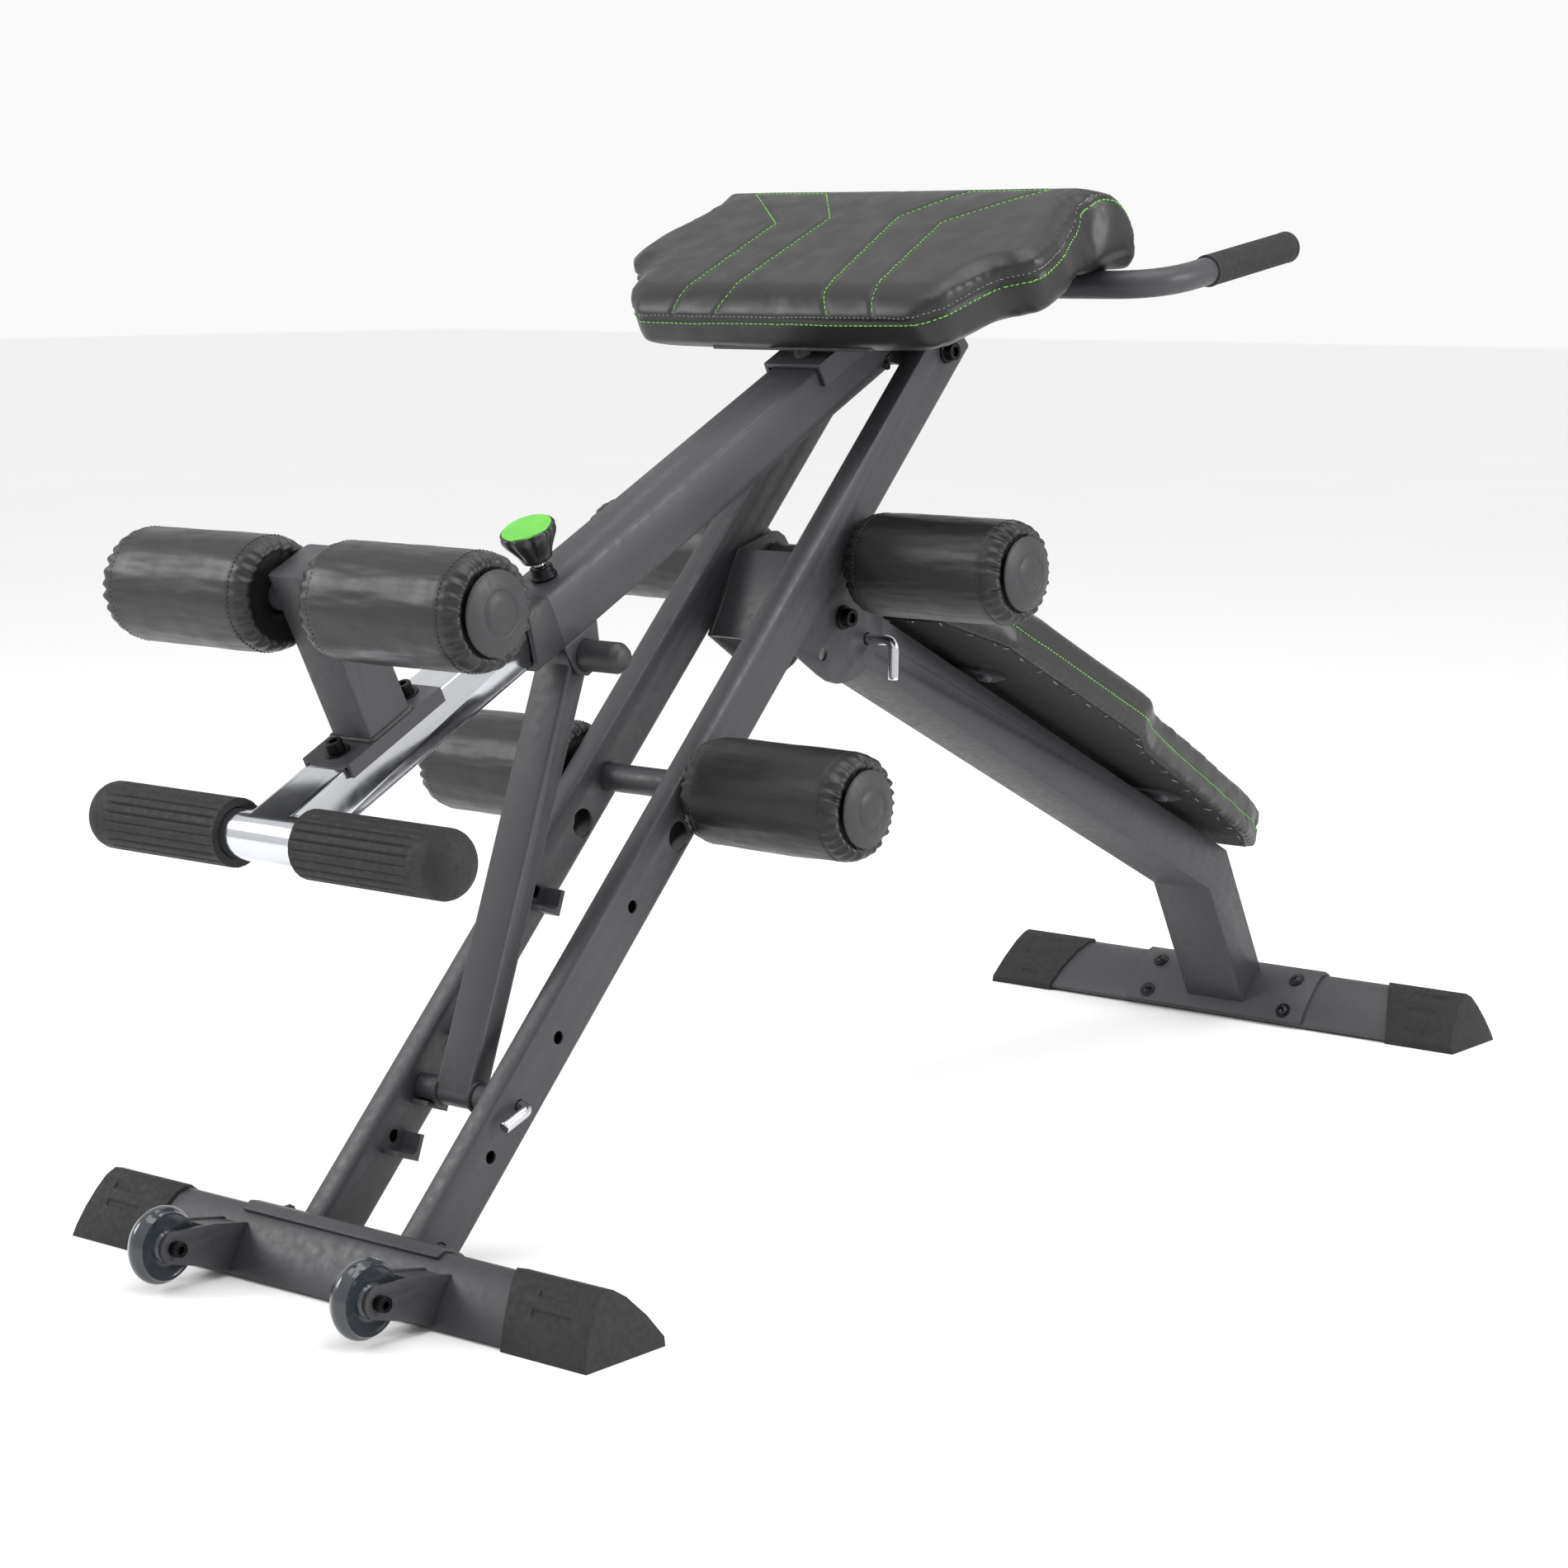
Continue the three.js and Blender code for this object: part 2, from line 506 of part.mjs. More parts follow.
for (const [side, sign] of SIDES) {
  const [x0, x1] = spanX(sign, RAIL_INNER, RAIL_OUTER);
  const cx = (x0 + x1) / 2;
  const section = roundRect(cx, railMiddle, RAIL_WIDTH, RAIL_DEPTH, RAIL_ROUND);
  const bore = roundRect(cx, railMiddle, RAIL_WIDTH - 2 * RAIL_WALL, RAIL_DEPTH - 2 * RAIL_WALL,
    RAIL_ROUND - RAIL_WALL);
  let rail = bar(section, RAIL_START, MAST_LENGTH, [bore]);
  const block = saddleBlock(false).applyMatrix4(
    new THREE.Matrix4().makeRotationX(deg(-MAST_ANGLE)).multiply(
      new THREE.Matrix4().makeTranslation(0, -MAST_START_Y, 0)));
  const topCut = slab([pt(MAST_LENGTH - RAIL_TOP_RUN, CUT), pt(MAST_LENGTH + CUT, CUT),
    pt(MAST_LENGTH + CUT, -RAIL_TOP_DROP)], -RAIL_OUTER - CUT, RAIL_OUTER + CUT);
  const holes = HOOK_STATIONS.map((s) => rodX(s, railMiddle, PIN_HOLE / 2, x0 - CUT, x1 + CUT, 10));
  for (const s of [LOWER_AXLE_STATION, LOWER_AXLE_SPARE]) {
    holes.push(rodX(s, -LOWER_AXLE_DEPTH, AXLE_DIAMETER / 2 + GAP, x0 - CUT, x1 + CUT));
  }
  holes.push(rodX(TOP_PIVOT_STATION, railMiddle, PIVOT_BOLT / 2 + GAP, x0 - CUT, x1 + CUT, 12));
  rail = cut(rail, block, topCut, ...holes);
  const hooks = HOOK_STATIONS.map((s) => slab(hookOutline(s),
    ...spanX(sign, RAIL_INNER - HOOK_REACH, RAIL_INNER + WELD_SINK)));
  piece(`mast_rail_${side}`, join(rail, ...hooks), FRAME_COAT, mast);
}

// ---------------------------------------------------------------- ears and cross plate
const foldLocal = pt(FOLD_PIVOT_STATION, -FOLD_PIVOT_DEPTH);
const upperLocal = pt(UPPER_AXLE_STATION, -UPPER_AXLE_DEPTH);
const foldPin = (angle) => outOf(foldLocal.x, foldLocal.y, angle - MAST_ANGLE, FOLD_PIN_RADIUS, 0);
const EAR_INNER = RAIL_INNER - EAR_THICK - GAP;

// Part of a circle in the mast's frame, its angles given against the floor.
function arc(centre, radius, from, to, steps) {
  return Array.from({ length: steps + 1 }, (_, i) =>
    outOf(centre.x, centre.y, from + ((to - from) * i) / steps - MAST_ANGLE, radius, 0));
}

// Side view of an ear: round the fold pivot and its two pin holes, round the upper axle, and
// forward under the rail to the cross plate.
const plateTop = pt(UPPER_AXLE_STATION - EAR_PLATE_TOP, -RAIL_DEPTH / 2);
const plateLow = pt(UPPER_AXLE_STATION - EAR_PLATE_LOW, -RAIL_DEPTH + 2);
const earOutline = ccw([plateLow, ...arc(foldLocal, EAR_RADIUS, -125, -4, 9),
  ...arc(upperLocal, EAR_AXLE_RADIUS, 0, 100, 4), plateTop]);

for (const [side, sign] of SIDES) {
  const used = foldPin(FOLD_PIN_ANGLE);
  const stored = foldPin(FOLD_PIN_ANGLE - FOLD_SWING);
  const holes = [
    circle(foldLocal.x, foldLocal.y, PIVOT_BOLT / 2 + GAP, 16),
    circle(used.x, used.y, PIN_HOLE / 2, 12),
    circle(stored.x, stored.y, PIN_HOLE / 2, 12),
    circle(upperLocal.x, upperLocal.y, AXLE_DIAMETER / 2 + GAP, ROUND),
  ];
  piece(`fold_ear_${side}`, slab(earOutline, ...spanX(sign, EAR_INNER, RAIL_INNER - GAP), holes),
    FRAME_COAT, mast);
}

// Plate closing the front of the two ears.
const plateRun = plateTop.clone().sub(plateLow).normalize();
const behind = pt(plateRun.y, -plateRun.x).multiplyScalar(EAR_THICK);
const plateOutline = ccw([plateLow, plateTop, plateTop.clone().add(behind), plateLow.clone().add(behind)]);
piece('ear_cross_plate', slab(plateOutline, -EAR_INNER + GAP, EAR_INNER - GAP), FRAME_COAT, mast);

// ---------------------------------------------------------------- axles, rollers, caps
// Foam rollers turn on the ends of a tube; a pressed plug with a domed disc keeps each one on.

function rollerProfile(x0, x1) {
  const bore = AXLE_DIAMETER / 2 + RUN_CLEAR;
  const r = ROLLER_DIAMETER / 2;
  const e = ROLLER_END_ROUND;
  const profile = [[bore, x0 + ROLLER_DISH]];
  const add = (cx, from, to) => {
    for (let i = 0; i <= 2; i += 1) {
      const a = deg(from + ((to - from) * i) / 2);
      profile.push([r - e + e * Math.cos(a), cx + e * Math.sin(a)]);
    }
  };
  add(x0 + e, -90, 0);
  add(x1 - e, 0, 90);
  profile.push([bore, x1 - ROLLER_DISH], [bore, x0 + ROLLER_DISH]);
  return profile;
}

function rollerPair(prefix, parent, y, z, inner) {
  for (const [side, sign] of SIDES) {
    const x0 = inner + ROLLER_GAP;
    const x1 = x0 + ROLLER_LENGTH;
    const flip = (g) => (sign > 0 ? g : g.applyMatrix4(new THREE.Matrix4().makeRotationZ(Math.PI))
      .translate(0, 2 * y, 0));
    piece(`${prefix}_roller_${side}`, flip(turnedX(rollerProfile(x0, x1), y, z)), VINYL, parent);
    const r = ROLLER_CAP_DIAMETER / 2;
    const seat = x1 + RUN_CLEAR;
    const plug = AXLE_BORE / 2 - GAP;
    const deep = x1 - ROLLER_PLUG;
    const cap = [[0, deep], [plug, deep], [plug, seat], [r, seat], [r, seat + ROLLER_CAP_EDGE],
      [r * 0.6, seat + ROLLER_CAP_THICK - 1], [0, seat + ROLLER_CAP_THICK]];
    piece(`${prefix}_roller_cap_${side}`, flip(turnedX(cap, y, z)), PLASTIC, parent);
  }
}

function axle(name, parent, y, z, inner) {
  const end = inner + ROLLER_GAP + ROLLER_LENGTH;
  piece(name, tubeX(y, z, AXLE_DIAMETER / 2, AXLE_BORE / 2, -end, end), FRAME_COAT, parent);
}
axle('lower_roller_axle', mast, LOWER_AXLE_STATION, -LOWER_AXLE_DEPTH, RAIL_OUTER);
rollerPair('lower', mast, LOWER_AXLE_STATION, -LOWER_AXLE_DEPTH, RAIL_OUTER);
axle('upper_roller_axle', mast, UPPER_AXLE_STATION, -UPPER_AXLE_DEPTH, RAIL_OUTER);
rollerPair('upper', mast, UPPER_AXLE_STATION, -UPPER_AXLE_DEPTH, RAIL_OUTER);

// ---------------------------------------------------------------- bolts and pins across the mast
// Socket screw along X: washer and head on the right, washer and nut on the left.
const NUT_HEIGHT = 11;           // with its washer
const WASHER_THICK = 3;
function crossBolt(name, parent, y, z, d, half, material) {
  const shank = 0.5 * d;
  const washer = 1.05 * d;
  const nut = 0.85 * d;
  const head = 0.8 * d;
  const socket = 0.42 * d;
  const out = half + WASHER_THICK;
  const top = out + 0.75 * d;
  const floor = out + 0.3 * d;
  const profile = [[0, -half - NUT_HEIGHT], [nut, -half - NUT_HEIGHT], [washer, -half - GAP],
    [shank, -half - GAP], [shank, half + GAP], [washer, half + GAP], [washer, out], [head, out],
    [head, top], [socket, top], [socket, floor], [0, floor]];
  piece(name, turnedX(profile, y, z, 12), material, parent);
}
crossBolt('top_pivot_bolt', mast, TOP_PIVOT_STATION, railMiddle, PIVOT_BOLT, RAIL_OUTER, BLACK_STEEL);
crossBolt('fold_pivot_bolt', mast, foldLocal.x, foldLocal.y, PIVOT_BOLT, RAIL_INNER, BLACK_STEEL);

// L-shaped lock pin: a straight run along X from its tip, then a bend into a handle at angle.
function lockPin(name, parent, y, z, tip, out, angle, handle) {
  const dir = new THREE.Vector3(0, Math.cos(deg(angle)), Math.sin(deg(angle)));
  const a = new THREE.Vector3(tip, y, z);
  const b = new THREE.Vector3(out, y, z);
  const corner = new THREE.Vector3(out + PIN_BEND, y, z);
  const c = corner.clone().addScaledVector(dir, PIN_BEND);
  const d = corner.clone().addScaledVector(dir, handle);
  const bendRun = new THREE.QuadraticBezierCurve3(b, corner, c).getPoints(4);
  piece(name, sweptRod([a, ...bendRun, d], PIN_DIAMETER, 12), CHROME, parent);
}

// A round bar through listed points, with its rings square to the run.
function sweptRod(points, diameter, n) {
  const rings = points.map((p, i) => {
    const a = points[Math.max(i - 1, 0)];
    const b = points[Math.min(i + 1, points.length - 1)];
    const t = b.clone().sub(a).normalize();
    return { p, t };
  });
  let up = new THREE.Vector3(0, 0, 1);
  if (Math.abs(rings[0].t.dot(up)) > 0.9) up = new THREE.Vector3(0, 1, 0);
  const verts = [];
  for (const { p, t } of rings) {
    const side = up.clone().addScaledVector(t, -up.dot(t)).normalize();
    const other = t.clone().cross(side);
    up = side;
    for (let k = 0; k < n; k += 1) {
      const a = (2 * Math.PI * k) / n;
      const v = p.clone().addScaledVector(side, (diameter / 2) * Math.cos(a))
        .addScaledVector(other, (diameter / 2) * Math.sin(a));
      verts.push(v.x, v.y, v.z);
    }
  }
  const last = rings.length - 1;
  verts.push(...rings[0].p.toArray(), ...rings[last].p.toArray());
  const index = [];
  for (let i = 0; i < last; i += 1) {
    for (let k = 0; k < n; k += 1) {
      const k2 = (k + 1) % n;
      const [a, b, c, d] = [i * n + k, i * n + k2, (i + 1) * n + k, (i + 1) * n + k2];
      index.push(a, b, d, a, d, c);
    }
  }
  const s = rings.length * n;
  for (let k = 0; k < n; k += 1) {
    const k2 = (k + 1) % n;
    index.push(s, k2, k, s + 1, last * n + k, last * n + k2);
  }
  const g = new THREE.BufferGeometry();
  g.setAttribute('position', new THREE.Float32BufferAttribute(verts, 3));
  g.setIndex(index);
  return g;
}

lockPin('hook_lock_pin', mast, HOOK_STATIONS[REST_HOOK], railMiddle, RAIL_INNER + GAP, RAIL_OUTER + 2,
  HOOK_PIN_HANG - MAST_ANGLE, HOOK_PIN_HANDLE);
lockPin('fold_lock_pin', mast, foldPin(FOLD_PIN_ANGLE).x, foldPin(FOLD_PIN_ANGLE).y, EAR_INNER,
  RAIL_INNER + FOLD_PIN_REACH, FOLD_PIN_HANG - MAST_ANGLE, FOLD_PIN_HANDLE);

// ---------------------------------------------------------------- transport wheels
for (const [side, sign] of SIDES) {
  const cx = sign * WHEEL_SPREAD;
  const inner = WHEEL_WIDTH / 2 + WHEEL_CLEAR;
  const outer = inner + FORK_THICK;
  const y = -WHEEL_REACH;
  const z = WHEEL_AXIS_HEIGHT;
  const nose = Array.from({ length: 7 }, (_, i) => 100 + i * 27).map((a) =>
    pt(y + FORK_NOSE * Math.cos(deg(a)), z + FORK_NOSE * Math.sin(deg(a))));
  const arm = ccw([...nose, pt(-0.6 * WHEEL_REACH, z - 22), pt(FORK_ROOT, 4), pt(34, z + 3),
    pt(-0.2 * WHEEL_REACH, z + 12)]);
  const webY = y + WHEEL_DIAMETER / 2 + WEB_CLEAR;
  const web = ccw([pt(webY, z - 17), pt(FORK_ROOT, FORK_ROOT), pt(30, z + 2), pt(webY, z + 11)]);
  const plates = [slab(arm, cx - outer, cx - inner), slab(arm, cx + inner, cx + outer),
    slab(web, cx - inner - CUT, cx + inner + CUT)];
  const bolt = WHEEL_BORE / 2 - 1;
  const reach = outer + OVERRUN;
  const trim = slab(footOutline(GAP), cx - reach, cx + reach);
  const hole = rodX(y, z, bolt + GAP, cx - reach, cx + reach, 16);
  piece(`wheel_fork_${side}`, cut(join(...plates), trim, hole), FRAME_COAT, bench);

  const r = WHEEL_DIAMETER / 2;
  const b = WHEEL_BORE / 2;
  const h = WHEEL_WIDTH / 2;
  const half = [[r, 0], [r - 1.5, h - 8], [r - 7, h - 3], [b + 9, h - 3], [b + 8, h], [b, h]];
  const near = half.slice(1).map(([rr, x]) => [rr, -x]).reverse();
  const tyre = [...near, ...half, near[0]].map(([rr, x]) => [rr, x + cx]);
  piece(`transport_wheel_${side}`, turnedX(tyre, y, z, 28), WHEEL_TYRE, bench);

  const face = outer + GAP;
  const head = WHEEL_BOLT_HEAD;
  const screw = [[0, -face - 8], [head, -face - 8], [head, -face], [bolt, -face], [bolt, face],
    [head, face], [head, face + 10], [3.5, face + 10], [3.5, face + 4], [0, face + 4]];
  piece(`wheel_bolt_${side}`, turnedX(screw.map(([rr, x]) => [rr, x + cx]), y, z, 12), BLACK_STEEL, bench);
}

// ---------------------------------------------------------------- tilting beam
const beam = frame(bench, TOP_PIVOT.x, TOP_PIVOT.y, BEAM_ANGLE);
const axis = BEAM_AXIS_OFFSET;
const beamTop = axis + BEAM_DEPTH / 2;
const beamBottom = axis - BEAM_DEPTH / 2;
const slideTop = axis + SLIDE_DEPTH / 2;
const sleeveR = PIVOT_SLEEVE_RADIUS;
const sleeveHalf = RAIL_INNER - 1;
const collarFrom = -BEAM_LOWER_END;
const hangerHalf = PROP_WIDTH / 2 + HANGER_CLEAR;

function beamGeometry() {
  const tube = boxTube(BEAM_WIDTH, BEAM_DEPTH, BEAM_WALL, -BEAM_LOWER_END, BEAM_UPPER_END, axis);
  const sleeve = rodX(0, 0, sleeveR, -sleeveHalf, sleeveHalf, 24);
  const lug = [pt(-48, beamBottom + 12), pt(-14, -13), pt(0, -sleeveR), pt(14, -11), pt(36,
    beamBottom + 12)];
  const lugs = SIDES.map(([, s]) => slab(lug, ...spanX(s, BEAM_WIDTH / 2 - WELD_SINK,
    BEAM_WIDTH / 2 + LUG_THICK)));
  // hanger under the lower end for the prop pivot rod
  const py = -PROP_PIVOT_STATION;
  const pz = PROP_PIVOT_OFFSET;
  const fore = -BEAM_LOWER_END + 1;
  const cheek = [pt(fore, beamBottom + 1), pt(fore + 2, beamBottom - 8), pt(py - 18, pz - 9),
    pt(py - 8, pz - 18), pt(py + 8, pz - 18), pt(py + 17, pz - 8), pt(py + 27, beamBottom + 1)];
  const cheeks = SIDES.map(([, s]) => slab(cheek, ...spanX(s, hangerHalf, hangerHalf + HANGER_THICK)));
  const solid = join(tube, sleeve, ...lugs, ...cheeks);
  const knobHole = new THREE.CylinderGeometry(KNOB_HOLE, KNOB_HOLE, 2 * OVERRUN, 20);
  return cut(solid,
    rodX(0, 0, PIVOT_BOLT / 2 + RUN_CLEAR, -RAIL_GAP, RAIL_GAP, 20),
    rodX(py, pz, PROP_ROD_DIAMETER / 2 + GAP, -RAIL_GAP, RAIL_GAP),
    knobHole.rotateX(Math.PI / 2).translate(0, -KNOB_STATION, beamTop));
}
piece('main_beam', beamGeometry(), FRAME_COAT, beam);

// Plastic guide: a collar flush with the beam and a liner between beam and slide.
function bushGeometry() {
  const y0 = collarFrom - BUSH_LENGTH - BUSH_SLANT;
  const collar = bar(roundRect(0, axis, BEAM_WIDTH + 1, BEAM_DEPTH + 1, 6), y0, collarFrom - GAP);
  const lining = 2 * (BEAM_WALL + GAP);
  const linerSection = roundRect(0, axis, BEAM_WIDTH - lining, BEAM_DEPTH - lining, 2.2);
  const liner = bar(linerSection, collarFrom - 2, collarFrom + 20);
  const holeSection = roundRect(0, axis, SLIDE_WIDTH + 2 * GAP, SLIDE_DEPTH + 2 * GAP, 4.3);
  const hole = bar(holeSection, y0 - CUT, collarFrom + 30);
  const lo = axis - BEAM_DEPTH / 2 - 2;
  const hi = axis + BEAM_DEPTH / 2 + 2;
  const bevel = slab([pt(y0 - 1, lo), pt(y0, lo), pt(y0 + BUSH_SLANT, hi), pt(y0 - 1, hi)], -50, 50);
  return cut(join(collar, liner), hole, bevel);
}
piece('beam_bush', bushGeometry(), PLASTIC, beam);

// Pull knob: fluted head on a threaded collar over the lock pin.
function knobCollar() {
  const profile = [[5, beamTop + GAP], [13, beamTop + GAP], [13, beamTop + 3], [11, beamTop + 5],
    [11, beamTop + 12], [5, beamTop + 12], [5, beamTop + GAP]];
  const g = new THREE.LatheGeometry(profile.map(([r, z]) => new THREE.Vector2(r, z)), 24);
  return g.rotateX(Math.PI / 2).translate(0, -KNOB_STATION, 0);
}
piece('knob_collar', knobCollar(), BLACK_STEEL, beam);

function knobGeometry() {
  const base = beamTop + KNOB_LIFT;
  const tip = slideTop + RUN_CLEAR;
  const r = KNOB_DIAMETER / 2;
  const profile = [[0, tip], [KNOB_STEM, tip], [KNOB_STEM, base], [r * 0.5, base], [r * 0.55, base + 5],
    [r * 0.95, base + KNOB_HEIGHT * 0.7], [r, base + KNOB_HEIGHT - KNOB_RIM],
    [r - KNOB_RIM, base + KNOB_HEIGHT],
    [0, base + KNOB_HEIGHT]];
  const g = new THREE.LatheGeometry(profile.map(([rr, z]) => new THREE.Vector2(rr, z)), ROUND);
  let body = g.rotateX(Math.PI / 2).translate(0, -KNOB_STATION, 0);
  const flutes = [];
  const out = r + KNOB_FLUTE_OUT;
  for (let i = 0; i < KNOB_FLUTES; i += 1) {
    const a = (2 * Math.PI * (i + 0.5)) / KNOB_FLUTES;
    const flute = new THREE.CylinderGeometry(KNOB_FLUTE_RADIUS, KNOB_FLUTE_RADIUS, KNOB_HEIGHT, 8);
    flutes.push(flute.rotateX(Math.PI / 2).translate(out * Math.cos(a),
      -KNOB_STATION + out * Math.sin(a), base + KNOB_HEIGHT / 2 - 4));
  }
  body = cut(body, ...flutes);
  return body;
}
piece('slide_knob', knobGeometry(), PLASTIC, beam);
const discRadius = KNOB_DIAMETER / 2 - KNOB_RIM;
const discHeight = beamTop + KNOB_LIFT + KNOB_HEIGHT + GAP + KNOB_DISC_THICK / 2;
const disc = new THREE.CylinderGeometry(discRadius, discRadius, KNOB_DISC_THICK, ROUND);
piece('knob_disc', disc.rotateX(Math.PI / 2).translate(0, -KNOB_STATION, discHeight), ACCENT, beam);

// ---------------------------------------------------------------- hip pad, its bracket, handlebar
// Right half of the hip pad from above (half width, along the beam): a narrow front, hips in
// the middle and a waist before the roll.
const HIP_HALF = [[HIP_PAD_NARROW - 6, HIP_PAD_FRONT - 11], [HIP_PAD_NARROW + 6, HIP_PAD_FRONT + 2],
  [HIP_PAD_NARROW + 22, HIP_PAD_FRONT + 14], [HIP_PAD_NARROW + 40, HIP_PAD_FRONT + 56],
  [HIP_PAD_WIDE - 40, HIP_PAD_FRONT + 76], [HIP_PAD_WIDE - 8, HIP_PAD_FRONT + 94],
  [HIP_PAD_WIDE, HIP_PAD_FRONT + 108], [HIP_PAD_WIDE - 4, HIP_PAD_FRONT + 146], [HIP_PAD_WIDE - 18,
    HIP_PAD_FRONT + 186],
  [HIP_PAD_WAIST, HIP_PAD_FRONT + 230], [HIP_PAD_WAIST + 6, HIP_ROLL_STATION + HIP_ROLL_RADIUS + 9]];

function hipPadGeometry() {
  const low = HIP_PAD_UNDERSIDE;
  const high = low + HIP_PAD_THICK;
  const r = HIP_ROLL_RADIUS;
  const s0 = HIP_ROLL_STATION;
  // side view: flat underside, a step down to the flat under the roll, round back and top
  const side = [pt(HIP_PAD_FRONT, low), pt(s0 - 1.25 * r, low), pt(s0 + 0.41 * r, low - 0.83 * r),
    pt(s0 + 0.78 * r, low - 0.72 * r), pt(s0 + r, low - 0.3 * r), pt(s0 + 0.95 * r, low + 0.3 * r),
    pt(s0 + 0.68 * r, high - 0.35 * r), pt(s0 + 0.25 * r, high - 0.06 * r), pt(s0 - 0.6 * r, high),
    pt(HIP_PAD_FRONT + 30, high), pt(HIP_PAD_FRONT + 4, high - 5), pt(HIP_PAD_FRONT - 10, high - 15)];
  const half = HIP_HALF.map(([x, y]) => pt(x, y));
  const plan = deck(ccw([...half, ...mirrorX(half)]), low - r - 5, high + 5);
  return meet(slab(ccw(side), -HIP_PAD_WIDE - 5, HIP_PAD_WIDE + 5), plan);
}
piece('hip_pad', hipPadGeometry(), VINYL, beam);

// A saddle section open downwards: inner half width, wall, skirt height and underside height.
function saddleSection(half, wall, skirt, under) {
  return ccw([pt(-half - wall, under - skirt), pt(-half, under - skirt), pt(-half, under), pt(half, under),
    pt(half, under - skirt), pt(half + wall, under - skirt), pt(half + wall, under + wall),
    pt(-half - wall, under + wall)]);
}

function hipBracketGeometry() {
  const top = beamTop + GAP;
  const section = saddleSection(BEAM_WIDTH / 2 + GAP, HIP_BRACKET_THICK, HIP_BRACKET_SKIRT, top);
  const saddle = bar(section, HIP_BRACKET_FROM, HIP_BRACKET_TO);
  const under = HIP_PAD_UNDERSIDE - GAP;
  const posts = HIP_POSTS.map((y) =>
    new THREE.CylinderGeometry(HIP_POST_RADIUS, HIP_POST_RADIUS, under - top - 1, 18)
      .rotateX(Math.PI / 2).translate(0, y, (under + top) / 2));
  const plates = HIP_POSTS.map((y) => {
    const outline = pointedPlate(HIP_PLATE_HALF, HIP_PLATE_SIDE, HIP_PLATE_SIDE, y);
    return deck(outline, under - HIP_PLATE_THICK, under);
  });
  return join(saddle, ...posts, ...plates);
}
piece('hip_pad_bracket', hipBracketGeometry(), FRAME_COAT, beam);

// Handlebar: one tube across the upper end of the beam, bent back to a grip on each side.
const barY = BEAM_UPPER_END + GAP + BAR_DIAMETER / 2;
const barZ = axis + BAR_LIFT;
const riseLocal = BAR_RISE - BEAM_ANGLE;       // the grips in the beam's frame
const gripDir = new THREE.Vector3(0, Math.cos(deg(riseLocal)), Math.sin(deg(riseLocal)));
const barCorner = new THREE.Vector3(BAR_REACH, barY, barZ);
function handlebarRun() {
  const half = [];
  const into1 = barCorner.clone().add(new THREE.Vector3(-BAR_BEND, 0, 0));
  const out1 = barCorner.clone().addScaledVector(gripDir, BAR_BEND);
  const bend = new THREE.QuadraticBezierCurve3(into1, barCorner, out1).getPoints(5);
  half.push(...bend, barCorner.clone()
    .addScaledVector(gripDir, HAND_GRIP_START + HAND_GRIP_LENGTH - HAND_GRIP_END));
  const other = half.map((p) => new THREE.Vector3(-p.x, p.y, p.z)).reverse();
  return [...other, ...half];
}
piece('handlebar', sweptRod(handlebarRun(), BAR_DIAMETER, 16), FRAME_COAT, beam);
for (const [side, sign] of SIDES) {
  const grip = new THREE.Group();
  grip.position.set(sign * BAR_REACH, barY, barZ);
  grip.rotation.x = deg(riseLocal);
  beam.add(grip);
  const r = HAND_GRIP_DIAMETER / 2;
  const bore = BAR_DIAMETER / 2 + GAP;
  const y0 = HAND_GRIP_START;
  const y1 = y0 + HAND_GRIP_LENGTH;
  const seat = y1 - HAND_GRIP_END + GAP;
  const profile = [[bore, y0], [r, y0], [r, y1 - 5], [r - 5, y1], [0, y1], [0, seat], [bore, seat],
    [bore, y0]].map(([rr, y]) => new THREE.Vector2(rr, y));
  piece(`hand_grip_${side}`, new THREE.LatheGeometry(profile, 16), RUBBER, grip);
}

// ---------------------------------------------------------------- prop strut and its pivot rod
const propPeg = PROP_ROD_LENGTH / 2;
function propRod() {
  const r = PROP_ROD_DIAMETER / 2;
  const profile = [[0, -propPeg], [r * 0.7, -propPeg + 3], [r, -propPeg + 10], [r, propPeg - 10],
    [r * 0.7, propPeg - 3], [0, propPeg]];
  return turnedX(profile, -PROP_PIVOT_STATION, PROP_PIVOT_OFFSET);
}
piece('prop_pivot_rod', propRod(), PLASTIC, beam);

const prop = frame(bench, PROP_PIVOT.x, PROP_PIVOT.y, PROP_ANGLE);
function propGeometry() {
  const eye = PROP_ROD_DIAMETER / 2 + RUN_CLEAR;
  const tube = boxTube(PROP_WIDTH, PROP_DEPTH, PROP_WALL, -PROP_LENGTH, -eye + 2, 0, 4);
  const head = rodX(0, 0, eye + PROP_EYE_WALL, -PROP_WIDTH / 2, PROP_WIDTH / 2);
  const foot = rodX(-PROP_LENGTH, 0, PROP_FOOT_DIAMETER / 2, -RAIL_INNER + 1, RAIL_INNER - 1, 16);
  const vent = new THREE.CylinderGeometry(PROP_VENT_RADIUS, PROP_VENT_RADIUS, PROP_DEPTH / 2, 12)
    .rotateX(Math.PI / 2);
  return cut(join(tube, head, foot), rodX(0, 0, eye, -RAIL_GAP, RAIL_GAP),
    rodX(-PROP_LENGTH, 0, PROP_FOOT_BORE / 2, -RAIL_GAP, RAIL_GAP, 12),
    vent.translate(0, -PROP_LENGTH + PROP_VENT_RISE, -PROP_DEPTH / 2));
}
piece('prop_strut', propGeometry(), FRAME_COAT, prop);

